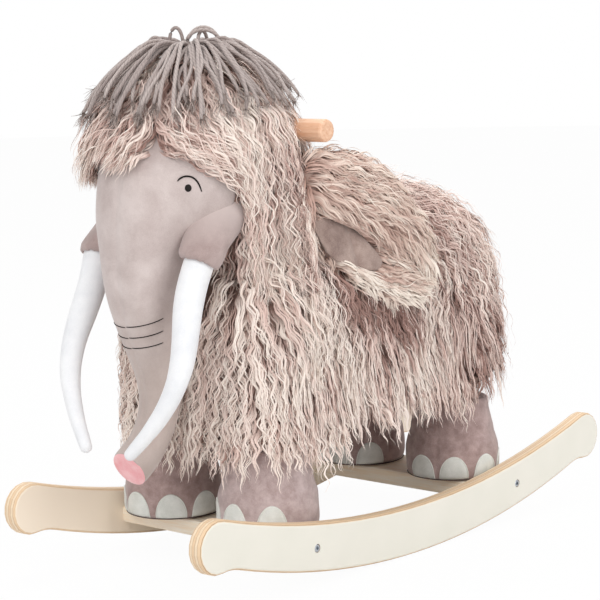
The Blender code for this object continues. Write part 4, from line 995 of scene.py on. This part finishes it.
def make_head_and_fur(body_base):
    base = smooth_faces(ball("head_stuffing", HEAD_MIDDLE, HEAD_HALF - Vector((FUR_BACKING_DEPTH,) * 3)))
    dress(base, "skin", replaces=("head_fur_cover", "head_filling"))

    def grows(points, normals):
        return (points[:, 2] > 0.345) & ~over_face(points, 0.003)

    roots, outs = scatter(base, grows, HEAD_GUIDES, 21)
    free = exposed(node_tree_of("face", "cheek_left", "cheek_right"), roots, outs, 0.05, 0.0005)
    free &= exposed(node_tree_of("torso_fur_cover"), roots, outs, 0.012)
    roots, outs = chosen(free, roots, outs)
    rng = np.random.default_rng(22)
    fall = np.arccos(np.clip((roots[:, 2] - HEAD_MIDDLE.z) / (HEAD_HALF.z - FUR_BACKING_DEPTH), -1, 1))
    crown = fall < 0.80
    roots, outs, crown = chosen(~crown | (rng.random(len(roots)) < 0.72), roots, outs, crown)
    count = len(roots)
    front = (outs[:, 1] < -0.25) & ~crown
    lengths = np.where(crown, rng.uniform(0.035, 0.055, count), rng.uniform(0.062, 0.086, count))
    lengths = redrawn(rng, lengths, (roots[:, 2] < 0.47) & ~front, 0.082, 0.150)
    lifts = np.where(crown, rng.uniform(0.001, 0.004, count), rng.uniform(0.004, 0.012, count))
    lifts = redrawn(rng, lifts, front & (roots[:, 0] < 0.03), 0.008, 0.022)
    lifts = redrawn(rng, lifts, (roots[:, 1] > -0.20) & ~crown, 0.008, 0.022)
    points, faces = ([read(piece) for piece in (base, body_base)] for read in (points_of, faces_of))
    faces[1] = faces[1] + len(points[0])
    tree = BVHTree.FromPolygons(np.concatenate(points).tolist(), np.concatenate(faces).tolist())
    guides, ways = comb(tree, roots, outs, lengths, lifts, head_flow, steps=10, under=-0.05)
    slack = np.clip(rng.normal(0.000, 0.003, count), -0.004, 0.009)
    wisps = 0.008 * soft_noise(roots, 0.03, 25) + rng.uniform(-0.006, 0.012, count)
    slack = np.where(roots[:, 0] < 0.034, wisps, slack)[:, None]
    cuts = cut_shares(guides, lambda line: over_face(line, slack), 24, least=0.0)
    guides, ways, lengths, cuts = chosen(cuts > 0.30, guides, ways, lengths, cuts)
    tones = 0.40 + 0.31 * ramp(np.abs(guides[:, 5, 0]), 0.075, 0.02) * ramp(guides[:, 5, 2], 0.46, -0.04)
    tones = tones + rng.normal(0, 0.16, len(tones))
    line, *rest = lock_lines(guides, ways, lengths, HEAD_STRANDS, HEAD_STYLE, 23, cuts, tones)
    ahead = np.repeat(guides[:, :, 1].mean(1) < -0.168, HEAD_STRANDS)
    line[ahead], line[~ahead] = over_ear_roots(line[ahead]), clear_of_ears(line[~ahead])
    astray = over_face(line, 0.004) & (np.abs(line[..., 0]) > 0.034) | stands_out(line)
    locks = chosen(~astray.any(1), line, *rest)
    left, brow = locks[0][:, 0, 0] >= 0, locks[0][:, 0, 1] < -0.22
    masks = {}
    for side, on_side in (("left", left), ("right", ~left)):
        masks["brow_fur_" + side], masks["nape_fur_" + side] = on_side & brow, on_side & ~brow
    split_fur(masks, locks)


# Velour and plush pieces

def grid(name, columns, rows, place):
    """A sheet whose points lie at place(u, v), u across and v up, both from 0 to 1."""
    bpy.ops.mesh.primitive_grid_add(x_subdivisions=columns, y_subdivisions=rows, size=1.0, location=(0, 0, 0))
    piece = named(name)
    move_points(piece, np.array([place(u, v) for u, v, _ in points_of(piece) + 0.5]))
    return piece


def unit_ball(name, segments, rings):
    bpy.ops.mesh.primitive_uv_sphere_add(segments=segments, ring_count=rings, radius=1.0, location=(0, 0, 0))
    return named(name)


def round_line(name, points, radii, sides):
    """A closed round tube along a smooth line, with its own radius at each point."""
    curve = bpy.data.curves.new(name, "CURVE")
    curve.dimensions, curve.bevel_depth, curve.bevel_resolution = "3D", 1.0, sides // 2 - 2
    curve.use_fill_caps, curve.resolution_u = True, 4
    spline = curve.splines.new("NURBS")
    spline.points.add(len(points) - 1)
    for spot, point, radius in zip(spline.points, points, radii):
        spot.co, spot.radius = (*point, 1.0), radius
    spline.order_u, spline.use_endpoint_u = 4, True
    pick(new_piece(name, curve))
    bpy.ops.object.convert(target="MESH")
    return smooth_faces(face_outwards(named(name)))


def stuffed(piece, cap, pressure=4.0, frames=20):
    """Swells a remeshed piece with a short cloth simulation, no point moving further than cap."""
    before = points_of(piece)
    cloth = piece.modifiers.new("cloth", "CLOTH")
    cloth.settings.use_pressure = True
    cloth.settings.uniform_pressure_force = pressure
    cloth.settings.effector_weights.gravity = 0.0
    cloth.point_cache.frame_start, cloth.point_cache.frame_end = 1, frames
    for number in range(1, frames + 1):
        bpy.context.scene.frame_set(number)
    apply_all(piece)
    bpy.context.scene.frame_set(1)
    moved = points_of(piece) - before
    moved *= np.minimum(1.0, cap / np.maximum(np.linalg.norm(moved, axis=1), 1e-9))[:, None]
    move_points(piece, before + moved)


def make_leg(corner, seed):
    """A stuffed foot, extruded ring by ring, with a soft waist under the fur."""
    (x, y), nail_turns, seam_turn = LEGS[corner]
    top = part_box("leg_" + corner)[1].z
    bpy.ops.mesh.primitive_circle_add(vertices=36, radius=SOLE_RADIUS, fill_type="NGON", location=(x, y, SOLE_HEIGHT))
    leg = named("stuffed_leg_" + corner)
    apply_place()
    bpy.ops.object.mode_set(mode="EDIT")
    bpy.ops.mesh.select_all(action="SELECT")
    height, radius = SOLE_HEIGHT, SOLE_RADIUS
    rings = (
        (0.0015, 0.0548), (0.006, 0.0562), (0.016, 0.0565), (0.030, 0.0562), (0.040, 0.0553), (0.052, 0.0530),
        (0.063, 0.0500), (0.078, 0.0465), (top - SOLE_HEIGHT, 0.044),
    )
    for rise, wide in rings:
        bpy.ops.mesh.extrude_region_move(TRANSFORM_OT_translate={"value": (0, 0, SOLE_HEIGHT + rise - height)})
        bpy.ops.transform.resize(value=(wide / radius, wide / radius, 1), center_override=(x, y, 0))
        height, radius = SOLE_HEIGHT + rise, wide
    bpy.ops.object.mode_set(mode="OBJECT")
    face_outwards(leg)
    skinned(leg, 0.0035, 3)
    stuffed(leg, 0.0016)
    points = points_of(leg)
    turn = np.arctan2(points[:, 0] - x, -(points[:, 1] - y))
    out = np.stack([points[:, 0] - x, points[:, 1] - y, np.zeros(len(points))], 1)
    away = np.linalg.norm(out, axis=1)
    out /= np.maximum(away, 1e-6)[:, None]
    slack = soft_noise(points * np.array([1, 1, 1.7]), 0.045, seed) * 0.0011
    waist = np.exp(-((points[:, 2] - 0.104 - 0.004 * np.sin(turn * 2 + x * 60)) / 0.006) ** 2) * 0.0016
    from_seam = np.angle(np.exp(1j * (turn - math.radians(seam_turn)))) * 0.056
    seam = np.exp(-(from_seam / 0.0016) ** 2) * 0.0012
    moved = np.minimum(slack - waist - seam, np.maximum(0.0568 - away, 0.0))
    side = (away > 0.03) & (points[:, 2] > SOLE_HEIGHT + 0.001)
    points += out * (moved * side)[:, None]
    points[:, 2] = np.clip(points[:, 2], SOLE_HEIGHT, None)
    move_points(leg, points)
    refined(leg, 1)
    smooth_faces(leg)
    # Painted light and shade: the front left leg gets the lit copy of the velour, the other three legs the shaded
    # copy.
    dress(leg, "leg" if corner == "front_left" else "shaded_leg", replaces=("leg_" + corner,))
    tree = surface_tree(leg)
    for number, turn in enumerate(nail_turns):
        make_nail(f"{corner}_{number + 1}", tree, x, y, math.radians(turn))
    bpy.ops.mesh.primitive_torus_add(
        major_radius=0.0546, minor_radius=0.0006, major_segments=72, minor_segments=6,
        location=(x, y, SOLE_HEIGHT + 0.0016),
    )
    piping = named("sole_piping_" + corner)
    apply_place()
    dress(smooth_faces(piping), "piping")


def make_nail(name, tree, x, y, turn):
    """A felt toenail: a low arch sewn flat on the foot, with a raised line of stitches round it."""
    wide, tall = 0.0375, 0.0375 if name.startswith("front_left") else 0.0305

    def on_foot(across, up, lift):
        angle = turn + across / FOOT_RADIUS
        way = Vector((math.sin(angle), -math.cos(angle), 0))
        start = Vector((x, y, SOLE_HEIGHT + max(up, 0.0012))) + way * 0.09
        return tree.ray_cast(start, -way)[0] + way * lift

    def place(u, v):
        share = math.sin(v * math.pi / 2)
        half = wide / 2 * (1 - max(0.0, share) ** 2.6) ** 0.5 * (0.94 + 0.06 * (1 - share))
        rim = max(abs(2 * u - 1) ** 6, share ** 14)
        return on_foot((2 * u - 1) * half, share * tall, 0.0002 + 0.0011 * (1 - rim))

    nail = grid("toenail_" + name, 16, 12, place)
    modified(nail, "SOLIDIFY", thickness=0.0016, offset=-1.0)
    apply_all(nail)
    dress(smooth_faces(face_outwards(nail)), "nail")
    line = []
    for k in range(41):
        across = -math.cos(k / 40 * math.pi) * wide / 2
        up = tall * max(0.0, 1 - (abs(across) / (wide / 2)) ** 2.0) ** (1 / 2.6)
        line.append(on_foot(across * 0.955, max(up - 0.0012, 0.0015), 0.0009))
    dress(round_line("toenail_stitch_" + name, line, [0.00045] * len(line), 6), "stitch")


def trunk_line():
    """Middle points and directions of the face and trunk, from hairline to tip."""
    middles = [Vector((0, y, z)) for y, z, _, _ in TRUNK_RINGS]
    ways = [
        Vector((0, 0, -1)) if k < 6 else (middles[min(k + 1, len(middles) - 1)] - middles[k - 1]).normalized()
        for k in range(len(middles))
    ]
    ways[-1] = Vector((0, -math.cos(TIP_SLOPE), -math.sin(TIP_SLOPE)))
    return middles, ways


def make_face_and_trunk():
    """One velour skin from the hairline to the tip, extruded ring by ring and shaped by the ring table."""
    middles, ways = trunk_line()
    last = len(TRUNK_RINGS) - 1
    bpy.ops.mesh.primitive_circle_add(vertices=40, radius=1.0, fill_type="NGON", location=(0, 0, 0))
    skin = named("face_and_trunk")
    bpy.ops.object.mode_set(mode="EDIT")
    bpy.ops.mesh.select_all(action="SELECT")
    for _ in range(last):
        bpy.ops.mesh.extrude_region_move(TRANSFORM_OT_translate={"value": (0, 0, -1)})
    bpy.ops.mesh.inset(thickness=0.14)
    bpy.ops.mesh.extrude_region_move(TRANSFORM_OT_translate={"value": (0, 0, 0.25)})
    bpy.ops.mesh.inset(thickness=0.3)
    bpy.ops.object.mode_set(mode="OBJECT")
    points = points_of(skin)
    for n, (px, py, pz) in enumerate(points):
        share, turn = math.hypot(px, py), math.atan2(py, px)
        k = last if share < 0.95 else min(last, int(round(-pz)))
        _, _, wide, deep = TRUNK_RINGS[k]
        power = 0.70 if 3 <= k <= 6 and math.sin(turn) > 0 else 1.0
        sideways = math.copysign(abs(math.cos(turn)) ** power, math.cos(turn))
        ahead = math.copysign(abs(math.sin(turn)) ** power, math.sin(turn))
        spot = middles[k] + share * (wide * sideways * ACROSS + deep * ahead * ways[k].cross(ACROSS))
        if share < 0.95 and pz > -last + 0.1:
            spot = spot - ways[k] * 0.0022
        points[n] = spot
    move_points(skin, points)
    face_outwards(skin)
    refined(skin, 2)
    points, normals = points_of(skin), normals_of(skin)
    groove = np.exp(-(points[:, 0] / 0.0032) ** 2) * np.clip(-normals[:, 1], 0, 1) * 0.0011
    slack = soft_noise(points * np.array([1, 1, 0.7]), 0.075, 41) * 0.0009
    fold = np.exp(-((points[:, 2] - 0.252 + 0.25 * (points[:, 1] + 0.29)) / 0.005) ** 2)
    fold = fold * np.clip(normals[:, 1] + 0.2, 0, 1) * 0.0020
    points += normals * (slack - groove - fold)[:, None]
    x, y, z = np.abs(points[:, 0]), points[:, 1], points[:, 2]
    spot = points - np.array(HEAD_MIDDLE)
    reach = np.linalg.norm(spot / (np.array(HEAD_HALF) - 0.0073), axis=1)
    share = (
        ramp(z, 0.368, 0.015) * ramp(y, -0.216, -0.012) * np.maximum(ramp(x, 0.040, 0.016), ramp(z, 0.452, 0.010))
        * ramp(z, 0.492, -0.003)
    )
    points += spot * (np.maximum(1 / reach - 1, 0) * share)[:, None]
    move_points(skin, points)
    refined(skin, 1)
    smooth_faces(skin)
    dress(skin, "face", body=None, replaces=("face", "trunk_lower"))
    return skin


def make_face_details(skin):
    """Eyes and the three sewn lines across the trunk, lying on the velour."""
    tree = surface_tree(skin)

    def on_skin(point, lift):
        near, out, _, _ = tree.find_nearest(Vector(point))
        return near + out * lift

    arc = (
        (0.0605, -0.2948, 0.4440), (0.0612, -0.2935, 0.4462), (0.0630, -0.2905, 0.4482), (0.0655, -0.2862, 0.4492),
        (0.0682, -0.2815, 0.4482), (0.0700, -0.2772, 0.4450), (0.0708, -0.2735, 0.4395), (0.0710, -0.2715, 0.4330),
    )
    for side, sign in SIDES:
        line = [on_skin((sign * x, y, z), 0.0002) for x, y, z in arc]
        radii = [0.00055] + [0.00095] * (len(line) - 2) + [0.00055]
        dress(round_line("eyelid_line_" + side, line, radii, 8), "thread")
        middle = on_skin((sign * 0.0662, -0.2852, 0.4365), 0.0)
        turned = tree.find_nearest(middle)[1].to_track_quat("Z", "Y").to_matrix().to_4x4()
        eye = unit_ball("eye_" + side, 24, 14)
        eye.data.transform(Matrix.Translation(middle) @ turned @ Matrix.Diagonal((0.0036, 0.0040, 0.0013, 1)))
        dress(smooth_faces(eye), "thread")
    for number, (high, rise) in enumerate(((0.2890, 0.0085), (0.2768, 0.0068), (0.2652, 0.0055))):
        for side, sign in SIDES:
            line = []
            for k in range(15):
                turn = (0.02 + 0.98 * k / 14) * math.radians(54)
                step = 0.0 if sign > 0 else -0.0008
                start = Vector((0, -0.270, high + rise * (k / 14) ** 1.6 + step))
                hit, out, _, _ = tree.ray_cast(start, Vector((sign * math.sin(turn), -math.cos(turn), 0)), 0.2)
                line.append(hit + out * 0.0001)
            thread = round_line(f"trunk_line_{number + 1}_{side}", line, [0.0004] + [0.00062] * 13 + [0.0004], 6)
            dress(thread, "thread", body=None)
            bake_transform(thread)
    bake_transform(skin)


def make_trunk_tip():
    middles, ways = trunk_line()
    way, (_, _, wide, deep) = ways[-1], TRUNK_RINGS[-1]
    disc = unit_ball("pink_trunk_tip", 40, 20)
    points = points_of(disc)
    dish = 0.0016 * np.exp(-(np.hypot(points[:, 0], points[:, 1]) / 0.45) ** 2)
    placed = (
        np.array(middles[-1] + way * -0.0002)
        + points[:, :1] * 0.93 * wide * np.array(ACROSS)
        + points[:, 1:2] * 0.93 * deep * np.array(way.cross(ACROSS))
        + (points[:, 2] * 0.0016 - dish)[:, None] * np.array(way)
    )
    move_points(disc, placed)
    smooth_faces(face_outwards(disc))
    dress(disc, "pink", body="trunk", replaces=("trunk_tip_disc",))


def make_cheeks_and_tusks():
    for side, sign in SIDES:
        cheek = node_copy("stuffed_cheek_" + side, "cheek_" + side)
        skinned(cheek, 0.0025, 10)
        stuffed(cheek, 0.0012)
        points = points_of(cheek)
        points += normals_of(cheek) * (0.0012 + soft_noise(points, 0.05, 51) * 0.0008)[:, None]
        raised = ramp(points[:, 2], 0.371, 0.036)
        points += np.array([-sign * 0.003, 0.031, 0.009]) * raised[:, None]
        move_points(cheek, points)
        smooth_faces(cheek)
        dress(cheek, "cheek", replaces=("cheek_" + side,))
        a, b, c, d = (Vector((sign * x, y, z)) for x, y, z in TUSK_LINE)
        line, radii = [a - (b - a).normalized() * 0.010], [0.0163]
        for k in range(19):
            t = k / 18
            line.append((1 - t) ** 3 * a + 3 * t * (1 - t) ** 2 * b + 3 * t * t * (1 - t) * c + t**3 * d)
            radii.append(TUSK_THICK + (TUSK_THIN - TUSK_THICK) * (0.35 * t + 0.65 * t * t))
        way = (line[-1] - line[-2]).normalized()
        for out, share in ((0.45, 0.90), (0.75, 0.66), (0.93, 0.36), (1.0, 0.05)):
            line.append(line[19] + way * TUSK_THIN * out)
            radii.append(TUSK_THIN * share)
        tusk = round_line("stuffed_tusk_" + side, line, radii, 24)
        points = points_of(tusk)
        move_points(tusk, points + normals_of(tusk) * (soft_noise(points, 0.03, 55) * 0.00035)[:, None])
        dress(tusk, "tusk", replaces=("tusk_" + side,))


def lining_edges(share):
    """The lining's lower and upper edge heights, share going from its front to its rear."""
    y = LINING_FRONT + LINING_LENGTH * share
    return y, np.interp(y, LINING_YS, LINING_LOWS), np.interp(y, LINING_YS, LINING_HIGHS)


def make_ears():
    for side, sign in SIDES:
        body = "ear_" + side
        ear = node_copy("stuffed_ear_" + side, body)
        skinned(ear, 0.004, 6, 0.0022)
        smooth_faces(ear)
        dress(ear, "skin", body=body, replaces=(body,))
        tree = surface_tree(ear)

        def place(u, v):
            y, low, high = lining_edges(u)
            z = low + (high - low) * v
            hit = tree.ray_cast(Vector((sign * 0.25, y, z)), Vector((-sign, 0, 0)))[0]
            base = ear_depth(z) + 0.012
            x = max(abs(hit.x) if hit else base, base)
            if x >= base + 0.004:
                return sign * (x + 0.0004), y, z
            rim = max(abs(2 * u - 1) ** 4, abs(2 * v - 1) ** 6)
            crease = math.exp(-((u - 0.52 - 0.10 * (1 - v)) / 0.035) ** 2) * 0.0022
            crown = 0.0026 * (1 - rim) + 0.0008 * math.sin(u * 9) * (1 - rim)
            return sign * (base + 0.0008 + crown - crease * (1 - rim)), y, z

        lining = grid("velour_lining_" + side, 28, 16, place)
        modified(lining, "SOLIDIFY", thickness=0.003, offset=-sign)
        modified(lining, "SMOOTH", factor=0.4, iterations=2)
        refined(lining, 1)
        smooth_faces(face_outwards(lining))
        dress(lining, "lining", body=body, replaces=("ear_lining_" + side,))
        make_ear_fur(side, sign, ear, body)


def make_ear_fur(side, sign, ear, body):
    """Long locks on the rolled top and round the lining, short ones on the side that faces the body."""
    def under_lining(points):
        y, z = points[:, 1], points[:, 2]
        _, low, high = lining_edges(ramp(y, LINING_FRONT, LINING_LENGTH))
        return (y > LINING_FRONT + 0.004) & (y < LINING_REAR - 0.002) & (z > low + 0.004) & (z < high - 0.001)

    def outer(points, normals):
        return (normals[:, 0] * sign > -0.15) & ~(under_lining(points) & (normals[:, 0] * sign > 0.2))

    def inner(points, normals):
        return normals[:, 0] * sign <= -0.35

    def outer_all(points, normals):
        return normals[:, 0] * sign > -0.35

    def flow(place, out):
        _, y, z = place
        swirl = math.sin(y * 70 + z * 50) * 0.5 + math.sin(z * 120 - y * 40) * 0.3
        share = part(y, LINING_FRONT, LINING_LENGTH)
        if y < LINING_FRONT + 0.012 and z < 0.414:
            return Vector((0.0, 0.15, -1.0))
        if z > lining_edges(share)[2] - 0.004:
            rear = min(1.2, max(0.0, (y + 0.07) / 0.09))
            return Vector((0.0, 0.95 - 0.40 * rear, -0.36 - 0.46 * rear + 0.08 * swirl))
        return Vector((0.0, 0.93, -0.36 - 0.28 * (1 - share) + 0.06 * swirl))

    def past_edge(line):
        y, z = line[:, :, 1], line[:, :, 2]
        return (z < np.interp(y, EAR_YS, EAR_LOWS) - slack) | (y > 0.034 + slack)

    rng = np.random.default_rng(61)
    roots, outs = scatter(ear, outer, EAR_GUIDES, 62)
    y, z, count = roots[:, 1], roots[:, 2], len(roots)
    lengths = np.minimum(rng.uniform(0.040, 0.066, count), 0.026 + np.maximum(0.05 - y, 0.0) * 0.62)
    lifts = rng.uniform(0.004, 0.0115, count)
    fringe = z < np.interp(y, EAR_YS, EAR_LOWS) + 0.022
    lengths = redrawn(rng, lengths, fringe, 0.034, 0.050)
    lifts = redrawn(rng, lifts, fringe, 0.003, 0.007)
    front_low = (y < -0.146) & (z < 0.414)
    lengths, lifts = np.where(front_low, lengths * 0.5, lengths), np.where(front_low, 0.002, lifts)
    guides, ways = comb(outer_tree(ear, outer_all), roots, outs, lengths, lifts, flow, weight=0.10)
    slack = rng.uniform(-0.001, 0.007, count)[:, None]
    cuts = cut_shares(guides, past_edge, 66, least=0.0)
    guides, ways, lengths, root_y, cuts, fringe = chosen(cuts > 0.40, guides, ways, lengths, y, cuts, fringe)
    line, across, half, tone = lock_lines(guides, ways, lengths, EAR_STRANDS, EAR_STYLE, 63, cuts, 0.30)
    y, z = line[:, :, 1], line[:, :, 2]
    low, high = np.interp(y, LINING_YS, LINING_LOWS), np.interp(y, LINING_YS, LINING_HIGHS)
    over = (y > LINING_FRONT) & (y < LINING_REAR) & (line[:, :, 0] * sign > 0.10)
    above = (z[:, :1] > (high + low)[:, :1] / 2) & over
    line[:, :, 2] = np.where(above, np.maximum(z, high - 0.002 + (z - high + 0.002) * 0.2), z)
    below = ~above & over & (z[:, :1] < low[:, :1] + 0.004)
    line[:, :, 2] = np.where(below, np.minimum(z, low + 0.002 + (z - low - 0.002) * 0.2), z)
    pale = np.repeat(np.maximum(fringe * 0.42, ramp(root_y, -0.040, 0.045) * 0.42), EAR_STRANDS)
    locks = line, across, half, np.clip(tone + pale, 0.15, 0.999)
    dress(ribbon_piece("ear_fur_" + side, *locks), "ear_fur", body)
    roots, outs = scatter(ear, inner, EAR_BACK_GUIDES, 64)
    lengths, lifts = rng.uniform(0.022, 0.034, len(roots)), rng.uniform(0.0008, 0.0022, len(roots))
    guides, ways = comb(outer_tree(ear, inner), roots, outs, lengths, lifts, flow)
    locks = lock_lines(guides, ways, lengths, EAR_BACK_STRANDS, EAR_BACK_STYLE, 65)
    dress(ribbon_piece("ear_inner_fur_" + side, *locks), "ear_fur", body)


def make_tail():
    down = Vector((0, math.sin(TAIL_LEAN), -math.cos(TAIL_LEAN)))
    line = [TAIL_ROOT + Vector((0, -0.020, 0.005))] + [TAIL_ROOT + down * TAIL_LENGTH * k / 10 for k in range(11)]
    radii = (0.0060, 0.0080, 0.0085, 0.0088, 0.0082, 0.0078, 0.0076, 0.0074, 0.0072, 0.0070, 0.0060, 0.0035)
    tail = round_line("stuffed_tail", line, radii, 16)
    dress(tail, "leg", body="tail", replaces=("tail",))
    rng = np.random.default_rng(71)
    roots, outs, lengths = [], [], []
    for _ in range(TAIL_GUIDES):
        share = rng.uniform(0.50, 0.86)
        turn = rng.uniform(0, 2 * math.pi)
        out = (Vector((math.cos(turn), math.sin(turn), 0)) - down * 0.2).normalized()
        roots.append(TAIL_ROOT + down * TAIL_LENGTH * share + out * 0.006)
        outs.append(out)
        lengths.append((0.99 - share) * TAIL_LENGTH + rng.uniform(-0.008, 0.010))
    roots, outs, lengths = np.array(roots), np.array(outs), np.array(lengths)
    s = np.linspace(0, 1, 9)[None, :, None]
    puff = 0.0075 * np.sin(s * math.pi * 0.75)
    guides = roots[:, None] + np.array(down) * lengths[:, None, None] * s + outs[:, None] * puff
    locks = lock_lines(guides, np.repeat(outs[:, None], 9, axis=1), lengths, TAIL_STRANDS, TAIL_STYLE, 72)
    dress(ribbon_piece("tail_tuft", *locks), "fur", "tail")


# Yarn forelock

def cord_piece(name, lines, tones, sides=7):
    """One piece of many round cords, mapped round and along for their twist."""
    points, faces, maps, start = [], [], [], 0
    turn = 2 * math.pi * np.arange(sides) / sides
    for line, tone in zip(lines, tones):
        rows = len(line)
        along = unit(np.gradient(line, axis=0))
        across = unit(np.cross(along, np.array([0.31, 0.22, 0.93])))
        other = np.cross(along, across)
        width = YARN_RADIUS * np.concatenate([[0.6], np.ones(rows - 2), [0.85]])
        ring = np.cos(turn)[:, None] * across[:, None] + np.sin(turn)[:, None] * other[:, None]
        points.append((line[:, None] + width[:, None, None] * ring).reshape(-1, 3))
        u = (tone + 0.04 + 0.92 * np.arange(sides + 1) / sides) / YARN_TONES
        v = np.concatenate([[0], np.cumsum(np.linalg.norm(np.diff(line, axis=0), axis=1))]) / YARN_REPEAT
        for k in range(rows - 1):
            low = start + k * sides
            for n in range(sides):
                after = (n + 1) % sides
                faces.append((low + n, low + after, low + sides + after, low + sides + n))
                maps.extend(((u[n], v[k]), (u[n + 1], v[k]), (u[n + 1], v[k + 1]), (u[n], v[k + 1])))
        for row, order in ((0, range(sides - 1, -1, -1)), (rows - 1, range(sides))):
            faces.append(tuple(start + row * sides + n for n in order))
            maps.extend([((tone + 0.5) / YARN_TONES, v[row])] * sides)
        start += rows * sides
    mesh = bpy.data.meshes.new(name)
    mesh.from_pydata(np.concatenate(points).tolist(), [], faces)
    mesh.update()
    return mapped_piece(name, mesh, np.array(maps))


def on_head(turn, fall, lift):
    """A point over the head: turn round the crown from +X, fall from the top down, lift above the skin."""
    wide = np.array(HEAD_HALF)[:, None] + lift
    return np.stack([
        HEAD_MIDDLE.x + wide[0] * np.sin(fall) * np.cos(turn),
        HEAD_MIDDLE.y + wide[1] * np.sin(fall) * np.sin(turn),
        HEAD_MIDDLE.z + wide[2] * np.cos(fall),
    ], -1)


def make_forelock():
    """Thick yarn tied at the crown and falling all round it, with frayed ends and a few loops."""
    rng = np.random.default_rng(81)
    cords, tuft = 126, np.array([0, -0.205, 0.572])
    s = np.linspace(0, 1, 18)
    lines = []
    for k in range(cords):
        turn = 2 * math.pi * (k + rng.uniform(-0.4, 0.4)) / cords * 3 % (2 * math.pi)
        front = max(0.0, math.cos(turn - math.radians(311))) ** 2
        long = 0.125 + 0.006 * math.cos(turn - math.radians(221)) + rng.uniform(-0.022, 0.008) + 0.006 * front
        lift = 0.0055 + 0.0046 * (k % 3) + rng.uniform(-0.001, 0.002)
        arch = 0.004 * np.sin(np.minimum(s * 2.2, 1) * math.pi) * rng.uniform(0.2, 1.3)
        fall = 0.07 + 0.03 * rng.random() + s * long / 0.128
        sway = rng.normal(0, 0.15) * (1 - 0.7 * front) * s**1.5
        sway = sway + rng.normal(0, 0.035) * np.sin(s * rng.uniform(5, 9) + rng.uniform(0, 6))
        rise = lift * np.minimum(s * 3.2, 1) ** 0.8 + arch + (rng.uniform(-0.002, 0.004) + 0.005 * (1 - front)) * s**2
        line = on_head(turn + sway, fall, rise)
        line[0] = line[0] * 0.5 + tuft * 0.5
        lines.append(line)
    spots, ways = np.array([line[-1] for line in lines]), np.array([unit(line[-1] - line[-2]) for line in lines])
    # Loops: middle, direction across, half width, height, how many side by side
    loops = (
        ((-0.0125, -0.216, 0.584), (0.80, 0.60, 0), 0.0075, 0.0180, 1),
        ((0.010, -0.197, 0.583), (0.76, 0.65, 0), 0.0170, 0.0190, 2),
        ((-0.030, -0.230, 0.580), (0.80, 0.60, 0), 0.0085, 0.0120, 1),
        ((0.004, -0.192, 0.584), (-0.3, 0.95, 0), 0.0120, 0.0140, 1),
    )
    around = np.linspace(-0.25 * math.pi, 1.25 * math.pi, 20)
    for middle, across, wide, tall, cords_in in loops:
        for n in range(cords_in):
            lines.append(
                np.array(middle) + np.array([0.0032, -0.0036, 0.0]) * n
                + np.array(across) * (wide * (1 + 0.12 * n) * np.cos(around))[:, None]
                + np.array([0, 0, 1.0]) * (tall * (1 - 0.15 * n) * np.maximum(np.sin(around), -0.6))[:, None]
            )
    yarn = cord_piece("yarn_forelock", lines, rng.integers(0, YARN_TONES, len(lines)))
    dress(yarn, "yarn", replaces=("forelock",))
    per, steps = 14, 7
    total = len(spots) * per
    start = np.repeat(spots, per, 0) + rng.normal(0, 0.0009, (total, 3))
    way = unit(np.repeat(ways, per, 0) + rng.normal(0, 0.38, (total, 3)))
    s = np.linspace(0, 1, steps)[None, :, None]
    front = np.repeat(np.clip(-ways[:, 2] * 1.2 - 0.2, 0.2, 1) * (spots[:, 1] < -0.25), per)
    reach = (rng.uniform(0.003, 0.007, total) + 0.008 * front)[:, None, None]
    curl = rng.normal(0, 0.0028, (total, 3))[:, None, :]
    line = start[:, None] + way[:, None] * reach * s + curl * s**2 + np.array([0, 0, -0.003]) * s**2
    across = unit(np.cross(unit(np.gradient(line, axis=1)), rng.normal(size=(total, 1, 3))))
    half = rng.uniform(0.0003, 0.00065, total)[:, None] * (1 - 0.75 * s[:, :, 0])
    # Painted shade: the frayed ends at the front middle get darker tones, standing in for the shadow there.
    tone = np.clip(rng.normal(0.66, 0.2, total) - 0.30 * front, 0, 0.999)
    dress(ribbon_piece("yarn_ends", line, across, half, tone), "yarn_ends")


def main():
    set_camera()
    light_up()
    finish_wood_and_steel()
    make_head_and_fur(make_body_and_fur())
    for number, corner in enumerate(LEGS):
        make_leg(corner, 31 + number)
    make_face_details(make_face_and_trunk())
    make_trunk_tip()
    make_cheeks_and_tusks()
    make_ears()
    make_tail()
    make_forelock()


main()
